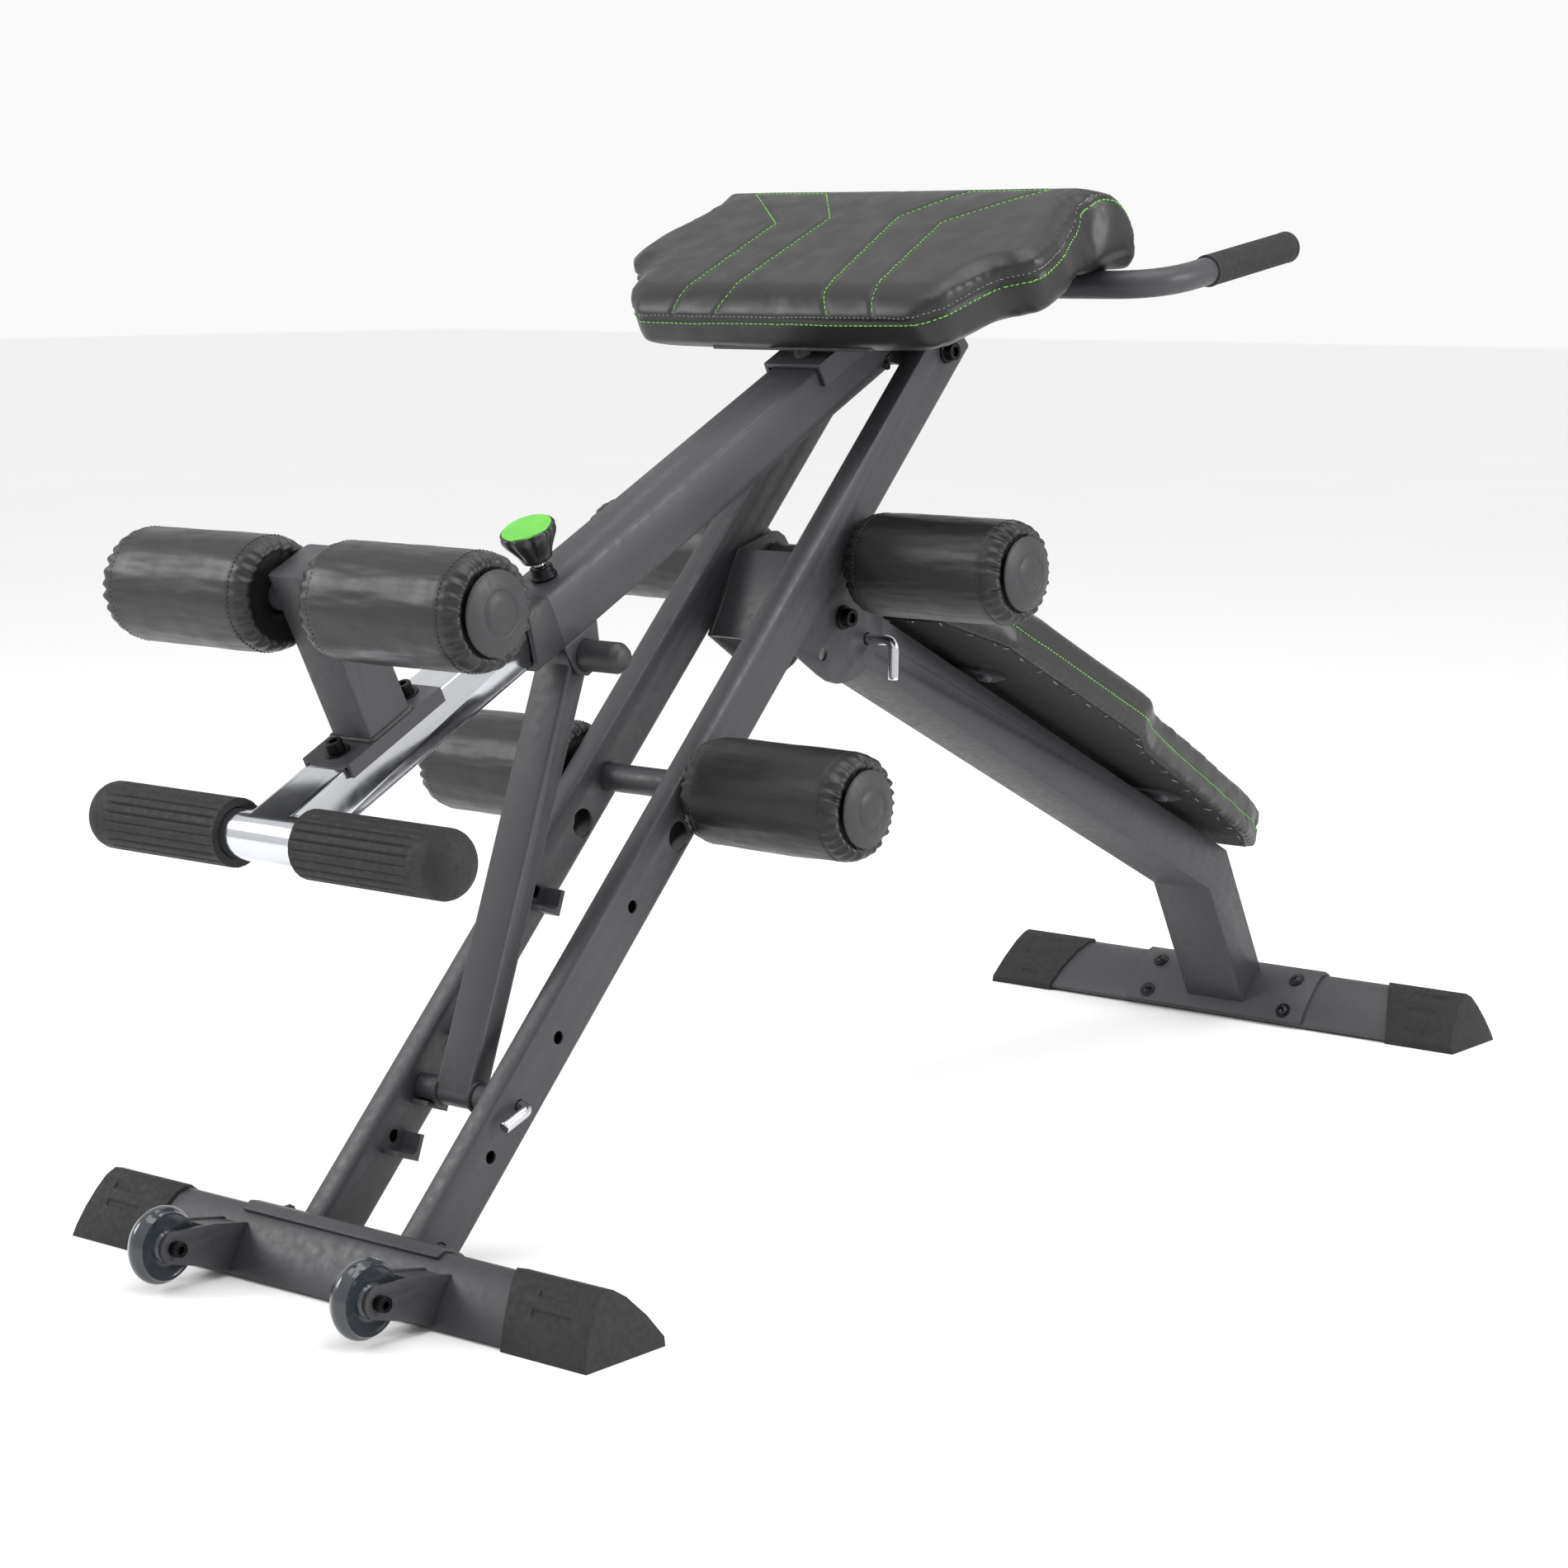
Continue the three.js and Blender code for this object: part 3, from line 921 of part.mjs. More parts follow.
// ---------------------------------------------------------------- telescoping slide
const slideInnerEnd = -BEAM_LOWER_END + SLIDE_INSIDE;
function slideGeometry() {
  const tube = boxTube(SLIDE_WIDTH, SLIDE_DEPTH, SLIDE_WALL, -CROSS_STATION, slideInnerEnd, axis, 4);
  const halfCross = GRIP_INNER + GRIP_LENGTH - 12;
  const cross = rodX(-CROSS_STATION, axis, CROSS_DIAMETER / 2, -halfCross, halfCross);
  const bore = rodX(-CROSS_STATION, axis, CROSS_DIAMETER / 2 - CROSS_WALL, -halfCross - CUT,
    halfCross + CUT);
  const holes = [];
  for (let i = 0; i < SLIDE_HOLES; i += 1) {
    const place = -KNOB_STATION + SLIDE_HOLE_PITCH * (i - (SLIDE_HOLES - 1) / 2);
    holes.push(new THREE.CylinderGeometry(SLIDE_HOLE_RADIUS, SLIDE_HOLE_RADIUS, 12, 10)
      .rotateX(Math.PI / 2).translate(0, place, slideTop));
  }
  return cut(join(tube, cross), bore, ...holes);
}
piece('slide_tube', slideGeometry(), CHROME, beam);

function footGrip() {
  const r = GRIP_DIAMETER / 2;
  const bore = CROSS_DIAMETER / 2 + GAP;
  const x0 = GRIP_INNER;
  const x1 = GRIP_INNER + GRIP_LENGTH;
  const seat = x1 - GRIP_END_WALL;
  const profile = [[bore, x0], [r, x0], [r, x1 - GRIP_DOME], [r * 0.88, x1 - 5], [0, x1], [0, seat],
    [bore, seat], [bore, x0]];
  const body = turnedX(profile, 0, 0);
  const grooves = [];
  for (let i = 0; i < GRIP_RIBS; i += 1) {
    const a = (2 * Math.PI * i) / GRIP_RIBS;
    const out = r + GROOVE_OUT;
    grooves.push(rodX(out * Math.cos(a), out * Math.sin(a), GROOVE_RADIUS, x0 - CUT, x1 - GRIP_SMOOTH, 6));
  }
  return cut(body, ...grooves);
}
for (const [side, sign] of SIDES) {
  const g = footGrip();
  if (sign < 0) g.applyMatrix4(new THREE.Matrix4().makeRotationZ(Math.PI));
  piece(`foot_grip_${side}`, g.translate(0, -CROSS_STATION, axis), RUBBER, beam);
}

// Post with its saddle over the slide and the axle of the foot rollers.
function postGeometry() {
  const section = saddleSection(SLIDE_WIDTH / 2 + GAP, POST_SADDLE_THICK, POST_SADDLE_SKIRT + GAP,
    slideTop + GAP);
  const saddle = bar(section, -POST_STATION - POST_SADDLE_LENGTH / 2,
    -POST_STATION + POST_SADDLE_LENGTH / 2);
  const outline = roundRect(0, -POST_STATION, POST_WIDTH, POST_DEPTH, 4);
  const hollow = roundRect(0, -POST_STATION, POST_WIDTH - 2 * POST_WALL, POST_DEPTH - 2 * POST_WALL, 2);
  const tube = deck(outline, slideTop + GAP + 1, POST_TOP);
  const room = deck(hollow, slideTop - 5, POST_TOP - POST_WALL);
  return cut(join(saddle, tube), room,
    rodX(-FOOT_ROLLER_STATION, FOOT_ROLLER_HEIGHT, AXLE_DIAMETER / 2 + GAP, -RAIL_GAP, RAIL_GAP));
}
piece('roller_post', postGeometry(), FRAME_COAT, beam);
axle('foot_roller_axle', beam, -FOOT_ROLLER_STATION, FOOT_ROLLER_HEIGHT, POST_WIDTH / 2 + 2);
rollerPair('foot', beam, -FOOT_ROLLER_STATION, FOOT_ROLLER_HEIGHT, POST_WIDTH / 2 + 2);

// ---------------------------------------------------------------- rear beam
const rear = frame(bench, FOLD_PIVOT.x, FOLD_PIVOT.y, REAR_ANGLE);
const pinLocal = outOf(0, 0, FOLD_PIN_ANGLE - REAR_ANGLE, FOLD_PIN_RADIUS, 0);
const bend = LEG_ANGLE - REAR_ANGLE;
function rearBeamGeometry() {
  const turn = deg(bend);
  const dir = pt(Math.cos(turn), Math.sin(turn));
  const elbowHeight = FOLD_PIVOT.y + REAR_LENGTH * Math.sin(deg(REAR_ANGLE));
  const long = (elbowHeight + FOOT_HEIGHT) / Math.sin(deg(-LEG_ANGLE));
  // outline of the bent run inset by wall; the mitre leans so that the leg keeps its own depth
  const run = (wall, past) => {
    const h = REAR_DEPTH / 2 - wall;
    const m = (2 * h * Math.cos(turn) - (LEG_DEPTH - 2 * wall)) / (2 * Math.sin(turn));
    const low = pt(REAR_LENGTH - m, -h);
    const high = pt(REAR_LENGTH + m, h);
    return [pt(-REAR_NOSE - past, -h), low, low.clone().addScaledVector(dir, long + past),
      high.clone().addScaledVector(dir, long + past), high, pt(-REAR_NOSE - past, h)];
  };
  const outer = run(0, 0);
  const inner = run(REAR_WALL, 5);
  const shell = slab(outer, -REAR_WIDTH / 2, REAR_WIDTH / 2);
  const core = slab(inner, -REAR_WIDTH / 2 + REAR_WALL, REAR_WIDTH / 2 - REAR_WALL);
  const block = saddleBlock(true).applyMatrix4(
    new THREE.Matrix4().makeRotationX(deg(-REAR_ANGLE)).multiply(
      new THREE.Matrix4().makeTranslation(0, -FOLD_PIVOT.x, -FOLD_PIVOT.y)));
  return cut(shell, core, block, rodX(0, 0, PIVOT_BOLT / 2 + RUN_CLEAR, -REAR_WIDTH, REAR_WIDTH, 12),
    rodX(pinLocal.x, pinLocal.y, PIN_HOLE / 2, -REAR_WIDTH, REAR_WIDTH, 12));
}
piece('rear_beam', rearBeamGeometry(), FRAME_COAT, rear);

// Back pad: long and waisted, narrow and chamfered at the mast end.
const padLow = REAR_DEPTH / 2 + BACK_PAD_CLEAR;
const BACK_HALF = [[60, 0.007], [100, 0], [137, 0.085], [143, 0.097], [147, 0.41], [146, 0.46],
  [123, 0.525],
  [107, 0.7], [82, 0.93], [63, 1]];
const backHalf = BACK_HALF.map(([x, share]) => pt(x, BACK_PAD_START + share * BACK_PAD_LENGTH));
const backOutline = ccw([...backHalf, ...mirrorX(backHalf)]);
const backPad = deck(backOutline, padLow + BACK_BRACKET_THICK + GAP, padLow + BACK_PAD_THICK);
piece('back_pad', backPad, VINYL, rear);
BACK_BRACKETS.forEach((y, i) => {
  const half = BACK_BRACKET_SPAN / 2;
  const plate = deck(pointedPlate(half, BACK_BRACKET_NOSE, BACK_BRACKET_HALF, y), padLow,
    padLow + BACK_BRACKET_THICK);
  const riseMiddle = REAR_DEPTH / 2 + GAP + BACK_PAD_CLEAR / 2;
  const rise = bar(roundRect(0, riseMiddle, 50, BACK_PAD_CLEAR, 1), y - 15, y + 15);
  const heads = SIDES.map(([, s]) => new THREE.CylinderGeometry(7, 6, 5, 14).rotateX(Math.PI / 2)
    .translate(s * (half - 28), y, padLow - 2));
  piece(`back_pad_bracket_${i + 1}`, join(plate, rise, ...heads), FRAME_COAT, rear);
});

// The origin is on the floor, midway between the front of the wheels and the back of the feet.
const frontEnd = -WHEEL_REACH - WHEEL_DIAMETER / 2;
bench.position.y = -(frontEnd + REAR_FOOT_BACK) / 2;
const part = new THREE.Group();
part.add(bench);
part.updateMatrixWorld(true);
export default part;
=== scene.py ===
"""Decline sit up bench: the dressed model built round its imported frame, in metres, +Z up."""
import json
import logging
import math
import random
from dataclasses import dataclass, field
from enum import Enum

import bmesh
import bpy
from mathutils import Matrix, Vector, noise
from mathutils.bvhtree import BVHTree
from mathutils.kdtree import KDTree


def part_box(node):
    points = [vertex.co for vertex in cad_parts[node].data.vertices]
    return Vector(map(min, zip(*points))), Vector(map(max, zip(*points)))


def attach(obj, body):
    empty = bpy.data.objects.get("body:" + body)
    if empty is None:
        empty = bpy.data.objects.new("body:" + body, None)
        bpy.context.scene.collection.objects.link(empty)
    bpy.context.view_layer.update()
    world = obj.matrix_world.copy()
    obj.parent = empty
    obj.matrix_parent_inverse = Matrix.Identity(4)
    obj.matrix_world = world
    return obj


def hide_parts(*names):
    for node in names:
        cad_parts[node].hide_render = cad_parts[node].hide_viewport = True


LOG = logging.getLogger("bench")
MM = 0.001
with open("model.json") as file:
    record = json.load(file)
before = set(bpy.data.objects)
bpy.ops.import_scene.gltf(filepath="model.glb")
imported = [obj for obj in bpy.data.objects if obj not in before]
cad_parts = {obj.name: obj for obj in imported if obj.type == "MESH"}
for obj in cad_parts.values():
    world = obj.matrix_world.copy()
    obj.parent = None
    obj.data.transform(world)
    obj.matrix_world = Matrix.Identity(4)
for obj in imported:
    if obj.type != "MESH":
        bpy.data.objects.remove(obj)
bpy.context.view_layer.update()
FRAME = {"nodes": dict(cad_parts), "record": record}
JOINTS = {joint["name"]: joint for joint in FRAME["record"]["behaviour"]["joints"]}


class Side(Enum):
    """The two sides of the bench, as the sign of X."""

    LEFT = -1
    RIGHT = 1

    @property
    def word(self) -> str:
        """The side's name in piece names."""
        return self.name.lower()


# ------------------------------------------------------------------ finishes
def linear(hex_colour: str) -> tuple[float, float, float, float]:
    """Turns an sRGB hex colour into linear light.

    Args:
        hex_colour: Six hex digits after a hash.

    Returns:
        Linear red, green, blue and a full alpha.
    """
    parts = [int(hex_colour[i : i + 2], 16) / 255 for i in (1, 3, 5)]
    bright = [c / 12.92 if c <= 0.04045 else ((c + 0.055) / 1.055) ** 2.4 for c in parts]
    return (*bright, 1.0)


class Sheet:
    """A material's node tree with short calls to add and wire nodes."""

    def __init__(self, name: str) -> None:
        """Starts a material holding only a Principled shader and its output."""
        self.material = bpy.data.materials.new(name)
        self.material.use_nodes = True
        self.tree = self.material.node_tree
        self.shader = self.tree.nodes["Principled BSDF"]
        self.place = self.add("ShaderNodeTexCoord").outputs["Object"]

    def add(self, kind: str, settings: dict | None = None, **sockets: object) -> bpy.types.Node:
        """Adds a node.

        Args:
            kind: The node's type name.
            settings: Properties set on the node itself.
            **sockets: Input values or output sockets, by input name with _ for spaces.

        Returns:
            The new node.
        """
        node = self.tree.nodes.new(kind)
        for key, value in (settings or {}).items():
            setattr(node, key, value)
        for key, value in sockets.items():
            self.feed(node.inputs[key.replace("_", " ")], value)
        return node

    def feed(self, socket: bpy.types.NodeSocket, value: object) -> None:
        """Wires an output socket into an input, or sets its plain value."""
        if isinstance(value, bpy.types.NodeSocket):
            self.tree.links.new(value, socket)
        else:
            socket.default_value = value

    def pattern(self, size: float, detail: float = 3.0, rough: float = 0.5) -> bpy.types.NodeSocket:
        """A noise whose features are about size metres across."""
        return self.add("ShaderNodeTexNoise", Vector=self.place, Scale=1 / size, Detail=detail,
                        Roughness=rough).outputs["Fac"]

    def cells(self, size: float, feature: str = "F1") -> bpy.types.NodeSocket:
        """Distance in a cell pattern whose cells are about size metres across."""
        node = self.add("ShaderNodeTexVoronoi", {"feature": feature}, Vector=self.place, Scale=1 / size)
        return node.outputs["Distance"]

    def remap(self, value: object, low: float, high: float, to_low: float, to_high: float) -> bpy.types.NodeSocket:
        """Maps a value from one range onto another."""
        node = self.add("ShaderNodeMapRange", Value=value)
        for name, number in (("From Min", low), ("From Max", high), ("To Min", to_low), ("To Max", to_high)):
            node.inputs[name].default_value = number
        return node.outputs["Result"]

    def blend(self, share: object, first: str, second: str) -> bpy.types.NodeSocket:
        """Mixes two hex colours by a share."""
        node = self.add("ShaderNodeMix", {"data_type": "RGBA"})
        self.feed(node.inputs[0], share)
        node.inputs[6].default_value = linear(first)
        node.inputs[7].default_value = linear(second)
        return node.outputs[2]

    def maths(self, kind: str, first: object, second: object) -> bpy.types.NodeSocket:
        """One sum of two values."""
        node = self.add("ShaderNodeMath", {"operation": kind})
        self.feed(node.inputs[0], first)
        self.feed(node.inputs[1], second)
        return node.outputs[0]

    def bumps(self, *layers: tuple[bpy.types.NodeSocket, float, float]) -> None:
        """Stacks bump layers of (height, strength, depth in metres) onto the shader."""
        normal = None
        for height, strength, depth in layers:
            node = self.add("ShaderNodeBump", Height=height, Strength=strength, Distance=depth)
            if normal is not None:
                self.tree.links.new(normal, node.inputs["Normal"])
            normal = node.outputs["Normal"]
        self.feed(self.shader.inputs["Normal"], normal)

    def set(self, **sockets: object) -> None:
        """Sets shader inputs by name, with _ for spaces."""
        for key, value in sockets.items():
            self.feed(self.shader.inputs[key.replace("_", " ")], value)


@dataclass(frozen=True)
class Finish:
    """A surface: its slot in the record and a way to make its material once."""

    name: str
    slot: str

    def build(self, sheet: Sheet) -> None:
        """Wires the finish; each kind of finish has its own."""
        raise NotImplementedError

    def material(self) -> bpy.types.Material:
        """Returns the finish's material, made on first use."""
        made = bpy.data.materials.get(self.name)
        if made is None:
            sheet = Sheet(self.name)
            self.build(sheet)
            made = sheet.material
        return made


@dataclass(frozen=True)
class PowderCoat(Finish):
    """Fine textured powder paint: tiny orange peel with faint cloudiness."""

    tone: str = "#37363a"
    shade: str = "#2f2e32"

    def build(self, sheet: Sheet) -> None:
        """Cloudy dark paint over two sizes of peel."""
        cloud = sheet.pattern(60 * MM, 4)
        sheet.set(Base_Color=sheet.blend(cloud, self.shade, self.tone), Metallic=0.0, Specular_IOR_Level=0.5)
        sheet.set(Roughness=sheet.remap(sheet.pattern(9 * MM), 0.3, 0.7, 0.40, 0.54))
        peel = sheet.pattern(1.1 * MM, 2)
        grit = sheet.cells(0.7 * MM)
        sheet.bumps((sheet.pattern(14 * MM, 2), 0.05, 0.4 * MM), (peel, 0.30, 0.10 * MM), (grit, 0.22, 0.07 * MM))


@dataclass(frozen=True)
class Vinyl(Finish):
    """Upholstery vinyl: pebbled grain, faint creases and a satin sheen."""

    tone: str = "#101011"
    shade: str = "#0a0a0b"
    grain: float = 1.5 * MM
    crease: float = 0.25

    def build(self, sheet: Sheet) -> None:
        """Leather-like cells with soft creases over them."""
        cloud = sheet.pattern(45 * MM, 3)
        sheet.set(Base_Color=sheet.blend(cloud, self.shade, self.tone), Specular_IOR_Level=0.45)
        pebble = sheet.cells(self.grain, "DISTANCE_TO_EDGE")
        rise = sheet.remap(pebble, 0.0, 0.22, 0.0, 1.0)
        gloss = sheet.remap(sheet.pattern(24 * MM, 4), 0.3, 0.7, 0.36, 0.50)
        sheet.set(Roughness=gloss, Coat_Weight=0.08, Coat_Roughness=0.35)
        folds = sheet.pattern(26 * MM, 4, 0.6)
        sheet.bumps((folds, self.crease, 1.2 * MM), (rise, 0.28, 0.16 * MM))


@dataclass(frozen=True)
class Rubber(Finish):
    """Moulded rubber with a dusty matt skin."""

    tone: str = "#212022"
    shade: str = "#1a191b"

    def build(self, sheet: Sheet) -> None:
        """Matt skin with fine speckle."""
        sheet.set(Base_Color=sheet.blend(sheet.pattern(30 * MM, 4), self.shade, self.tone))
        sheet.set(Roughness=sheet.remap(sheet.pattern(6 * MM), 0.3, 0.7, 0.62, 0.78), Specular_IOR_Level=0.4)
        sheet.bumps((sheet.pattern(0.9 * MM, 3), 0.25, 0.10 * MM), (sheet.cells(2.2 * MM), 0.08, 0.10 * MM))


@dataclass(frozen=True)
class Moulded(Finish):
    """Moulded plastic with a spark-eroded texture."""

    tone: str = "#29282b"
    shade: str = "#222124"
    gloss: float = 0.5
    depth: float = 0.12 * MM

    def build(self, sheet: Sheet) -> None:
        """Even plastic with a fine random texture."""
        sheet.set(Base_Color=sheet.blend(sheet.pattern(20 * MM), self.shade, self.tone))
        sheet.set(Roughness=sheet.remap(sheet.pattern(5 * MM), 0.3, 0.7, self.gloss - 0.05, self.gloss + 0.07))
        sheet.bumps((sheet.pattern(0.8 * MM, 2), 0.35, self.depth), (sheet.cells(1.3 * MM), 0.2, self.depth))


@dataclass(frozen=True)
class Plated(Finish):
    """Bright plated steel, from mirror chrome to grey zinc."""

    tone: str = "#d3d5d9"
    shade: str = "#bfc1c6"
    gloss: float = 0.10
    spread: float = 0.06

    def build(self, sheet: Sheet) -> None:
        """Metal with faint smears and drawing lines."""
        sheet.set(Base_Color=sheet.blend(sheet.pattern(35 * MM, 4), self.shade, self.tone), Metallic=1.0)
        smear = sheet.pattern(12 * MM, 5, 0.6)
        sheet.set(Roughness=sheet.remap(smear, 0.3, 0.7, self.gloss, self.gloss + self.spread))
        sheet.bumps((sheet.pattern(2.0 * MM, 3), 0.04, 0.05 * MM))


@dataclass(frozen=True)
class Urethane(Finish):
    """Glossy cast polyurethane."""

    def build(self, sheet: Sheet) -> None:
        """Deep grey gloss with faint flow marks."""
        sheet.set(Base_Color=sheet.blend(sheet.pattern(16 * MM, 4), "#23272b", "#353b41"))
        sheet.set(Roughness=sheet.remap(sheet.pattern(8 * MM, 4), 0.3, 0.7, 0.10, 0.22), Coat_Weight=0.4)
        sheet.set(Coat_Roughness=0.06)
        sheet.bumps((sheet.pattern(5 * MM, 3), 0.06, 0.2 * MM))


@dataclass(frozen=True)
class Thread(Finish):
    """Twisted sewing thread."""

    tone: str = "#74c63a"
    shade: str = "#4f9a24"

    def build(self, sheet: Sheet) -> None:
        """Coloured fibres that catch light along the twist."""
        fibre = sheet.pattern(0.5 * MM, 4)
        sheet.set(Base_Color=sheet.blend(fibre, self.shade, self.tone), Roughness=0.6, Sheen_Weight=0.3)
        sheet.bumps((fibre, 0.5, 0.15 * MM))


COAT = PowderCoat("frame_powder_coat", "frame_coat")
WELD = PowderCoat("weld_coat", "frame_coat", "#2c2b2e", "#201f22")
VINYL = Vinyl("pad_vinyl", "vinyl")
ROLLER = Vinyl("roller_vinyl_skin", "roller_vinyl", "#111112", "#0a0a0b", 1.3 * MM, 0.5)
BACKING = Rubber("pad_backing_cloth", "vinyl", "#141415", "#0c0c0d")
RUBBER = Rubber("moulded_rubber", "rubber")
SLEEVE = Rubber("foot_sleeve_rubber", "rubber", "#1f1f21", "#18181a")
PLASTIC = Moulded("textured_plastic", "plastic")
KNOB = Moulded("knob_plastic", "plastic", "#161617", "#111112", 0.34)
DISC = Moulded("green_disc", "accent", "#62bf35", "#4fa829", 0.34, 0.04 * MM)
BLACK_OXIDE = Plated("black_oxide_steel", "black_steel", "#2a2a2c", "#1c1c1e", 0.34, 0.12)
CHROME = Plated("chrome_plate", "chrome")
DARK_SCREW = Plated("dark_screw", "black_steel", "#3c3c3f", "#2a2a2c", 0.22, 0.1)
ZINC = Plated("zinc_plate", "chrome", "#b3b4b7", "#98999c", 0.30, 0.16)
URETHANE = Urethane("cast_urethane", "wheel")
THREAD = Thread("green_thread", "vinyl")


# ------------------------------------------------------------------ mesh tools
def settle(name: str, mesh: bmesh.types.BMesh, finish: Finish, body: str, stands_for: tuple[str, ...] = (),
           sharp: float = 38.0) -> bpy.types.Object:
    """Turns a finished bmesh into a piece on a body.

    Args:
        name: The piece's name.
        mesh: Its shape, in place; freed here.
        finish: Its surface.
        body: The body it rides on.
        stands_for: CAD nodes that it replaces.
        sharp: Edges that turn more than this many degrees stay crisp.

    Returns:
        The piece.
    """
    mesh.normal_update()
    for face in mesh.faces:
        face.smooth = True
    for edge in mesh.edges:
        if len(edge.link_faces) == 2 and edge.calc_face_angle(0.0) > math.radians(sharp):
            edge.smooth = False
    data = bpy.data.meshes.new(name)
    mesh.to_mesh(data)
    mesh.free()
    piece = bpy.data.objects.new(name, data)
    bpy.context.collection.objects.link(piece)
    data.materials.append(finish.material())
    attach(piece, body)
    if stands_for:
        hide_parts(*stands_for)
    LOG.info("%s on %s, %d faces", name, body, len(data.polygons))
    return piece


def basis(origin: Vector, along: Vector, up: Vector = Vector((0, 0, 1))) -> Matrix:
    """A frame whose Z runs along a direction.

    Args:
        origin: Where the frame stands.
        along: Its Z direction.
        up: A hint for its Y direction.

    Returns:
        The 4 x 4 matrix.
    """
    z = along.normalized()
    if abs(z.dot(up)) > 0.95:
        up = Vector((0, 1, 0)) if abs(z.y) < 0.9 else Vector((1, 0, 0))
    x = up.cross(z).normalized()
    y = z.cross(x)
    turn = Matrix((x, y, z)).transposed().to_4x4()
    turn.translation = origin
    return turn


def turned(profile: list[tuple[float, float]], place: Matrix, sides: int = 48) -> bmesh.types.BMesh:
    """Spins a profile of (radius, height) about a frame's Z.

    Args:
        profile: Points from one end to the other; ends on the axis close the body.
        place: The frame.
        sides: Steps of the spin.

    Returns:
        The closed body.
    """
    mesh = bmesh.new()
    verts = [mesh.verts.new((r, 0, h)) for r, h in profile]
    edges = [mesh.edges.new(pair) for pair in zip(verts, verts[1:])]
    bmesh.ops.spin(mesh, geom=verts + edges, cent=(0, 0, 0), axis=(0, 0, 1), angle=math.tau, steps=sides,
                   use_merge=True)
    bmesh.ops.remove_doubles(mesh, verts=mesh.verts, dist=1e-6)
    bmesh.ops.recalc_face_normals(mesh, faces=mesh.faces)
    mesh.transform(place)
    return mesh


def swept(points: list[Vector], radius: float, sides: int = 24, ripple: float = 0.0,
          pitch: float = 0.0) -> bmesh.types.BMesh:
    """A round bar along points, closed at both ends.

    Args:
        points: The centre line.
        radius: Of the bar.
        sides: Of its section.
        ripple: Share by which the radius swells at each step of pitch.
        pitch: Length of one swell.

    Returns:
        The bar.
    """
    mesh = bmesh.new()
    rings = []
    up = Vector((0, 0, 1))
    run = 0.0
    for i, point in enumerate(points):
        ahead = (points[min(i + 1, len(points) - 1)] - points[max(i - 1, 0)]).normalized()
        if abs(ahead.dot(up)) > 0.95:
            up = Vector((1, 0, 0))
        side = (up - ahead * up.dot(ahead)).normalized()
        up = side
        other = ahead.cross(side)
        run += (point - points[max(i - 1, 0)]).length
        r = radius * (1 + ripple * abs(math.sin(math.pi * run / pitch)) if pitch else 1)
        rings.append([mesh.verts.new(point + side * (r * math.cos(math.tau * k / sides))
                                     + other * (r * math.sin(math.tau * k / sides))) for k in range(sides)])
    for first, second in zip(rings, rings[1:]):
        for k in range(sides):
            mesh.faces.new((first[k], first[(k + 1) % sides], second[(k + 1) % sides], second[k]))
    mesh.faces.new(list(reversed(rings[0])))
    mesh.faces.new(rings[-1])
    bmesh.ops.recalc_face_normals(mesh, faces=mesh.faces)
    return mesh


def dense(points: list[Vector], step: float) -> list[Vector]:
    """Resamples a line of points at an even step."""
    out = [points[0]]
    for a, b in zip(points, points[1:]):
        count = max(1, round((b - a).length / step))
        out += [a.lerp(b, (i + 1) / count) for i in range(count)]
    return out


def rounded(points: list[Vector], radius: float, steps: int = 10) -> list[Vector]:
    """Replaces each inner corner of a line with an arc-like curve of about a radius."""
    out = [points[0]]
    for a, b, c in zip(points, points[1:], points[2:]):
        back = (a - b).normalized()
        on = (c - b).normalized()
        start = b + back * radius
        end = b + on * radius
        for i in range(steps + 1):
            t = i / steps
            out.append(start * (1 - t) ** 2 + b * (2 * t * (1 - t)) + end * t ** 2)
    return out + [points[-1]]


def joined(parts: list[bmesh.types.BMesh]) -> bmesh.types.BMesh:
    """Gathers several bodies in one mesh and frees them."""
    whole = bmesh.new()
    for part in parts:
        data = bpy.data.meshes.new("part")
        part.to_mesh(data)
        part.free()
        whole.from_mesh(data)
        bpy.data.meshes.remove(data)
    return whole


def surface(*nodes: str) -> BVHTree:
    """A tree for finding points on CAD nodes."""
    mesh = bmesh.new()
    for node in nodes:
        mesh.from_mesh(FRAME["nodes"][node].data)
    tree = BVHTree.FromBMesh(mesh)
    mesh.free()
    return tree


# ------------------------------------------------------------------ the beam's own frame
@dataclass(frozen=True)
class Slope:
    """A frame in the side plane: s runs along a beam, w square to it and upwards."""

    origin: Vector
    along: Vector

    @property
    def out(self) -> Vector:
        """The upward normal of the beam."""
        return Vector((0, -self.along.z, self.along.y))

    def at(self, x: float, s: float, w: float) -> Vector:
        """The point x metres to the right, s along and w above."""
        return self.origin + Vector((x, 0, 0)) + self.along * s + self.out * w


TILT = Slope(Vector(JOINTS["beam_tilt"]["pos_m"]), -Vector(JOINTS["foot_slide"]["axis"]))
FOLD_DIP = math.radians(26.15)
REAR = Slope(Vector(JOINTS["rear_fold"]["pos_m"]), Vector((0, math.cos(FOLD_DIP), -math.sin(FOLD_DIP))))


